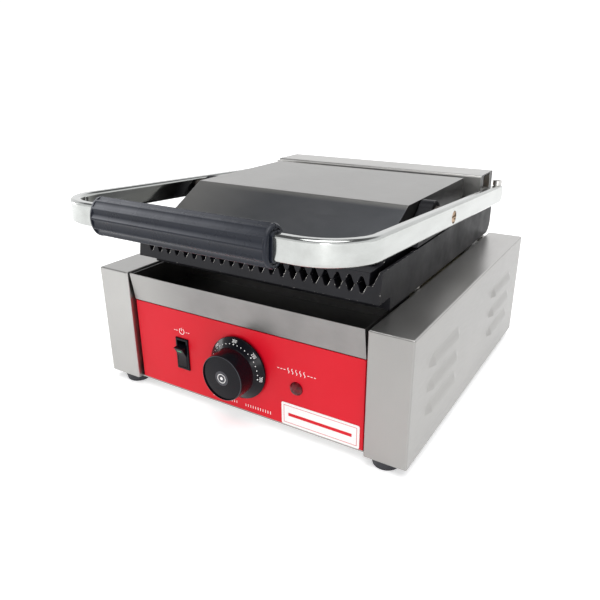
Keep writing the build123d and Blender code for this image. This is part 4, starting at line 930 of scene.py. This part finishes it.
def build():
    finishes = slot_finishes()
    for part in frame["record"]["subparts"]:
        finish_node(part["node"], finishes[part["material_slot"]])
    finish_node("drip_tray", tray_finish())

    # Lighter and darker copies of one steel for the two housings and the hood, each set to how it is lit:
    # painted light and shade. The tops get painted light and the hood painted shade on its sides.
    steel_left = pale_tops(brushed_steel("steel_left", Y_AXIS, Z_AXIS, (0.45, 0.445, 0.43)),
                           (0.46, 0.455, 0.44), (0.50, 0.495, 0.475))
    steel_right = pale_tops(brushed_steel("steel_right", Y_AXIS, Z_AXIS, (0.345, 0.339, 0.328)),
                            (0.60, 0.59, 0.57), (0.66, 0.65, 0.63))
    steel_hood = stain_sides(brushed_steel("steel_hood", X_AXIS, Z_AXIS, (0.62, 0.613, 0.59)))
    edges = cast_enamel("cast_enamel_edges", chips_and_highlight=0.03)
    # A painted highlight, drawn as heavy chipping, for the front flanks of the lower grooves.
    bright = cast_enamel("cast_enamel_chipped_highlight", chips_and_highlight=0.20)
    ink = printed_white("white_ink")
    green = moulded("green_window", (0.02, 0.20, 0.09), 0.12, gloss=0.5)
    red, plastic, grip = finishes["red_paint"], finishes["black_plastic"], finishes["grip_black"]

    for side_name, outward, steel in (("left", -1, steel_left), ("right", 1, steel_right)):
        add_side_housing(side_name, outward, steel)
        add_spring(side_name, finishes["spring_steel"])
    softened("upper_cover", "upper_cover_sheet", 0.25 * MM, cover_finish(), "brushed_steel", "head")
    softened("tower_hood", "tower_hood_sheet", 0.25 * MM, steel_hood, "brushed_steel", "base")
    softened("control_panel", "control_panel_sheet", 0.2 * MM, red, "red_paint", "base")
    softened("rocker", "rocker_moulding", 0.45 * MM, plastic, "black_plastic", "rocker", segments=3)
    for half in ("front", "rear"):
        node = "handle_grip_" + half
        softened(node, node + "_moulding", 0.22 * MM, grip, "grip_black", "handle", crease=18)
    add_castings(finishes["cast_iron"], edges, bright)
    centre, front = add_knob(plastic)
    add_dial(centre, front, ink)
    add_knob_emblem(centre, front, ink)
    add_panel_marks(ink)
    add_label_print(red)
    add_lens(finishes["red_lens"])
    add_rocker_window(green)


add_camera()
add_world()
add_floor()
add_soft_sun("key_light", (0.15, -0.20, 0.97), 56, 1.9)
add_window("window_left", (-1.75, -0.45, 0.26))
add_window("window_front", (0.80, -1.45, 0.28))
bpy.context.scene.view_settings.view_transform = "Standard"
build()
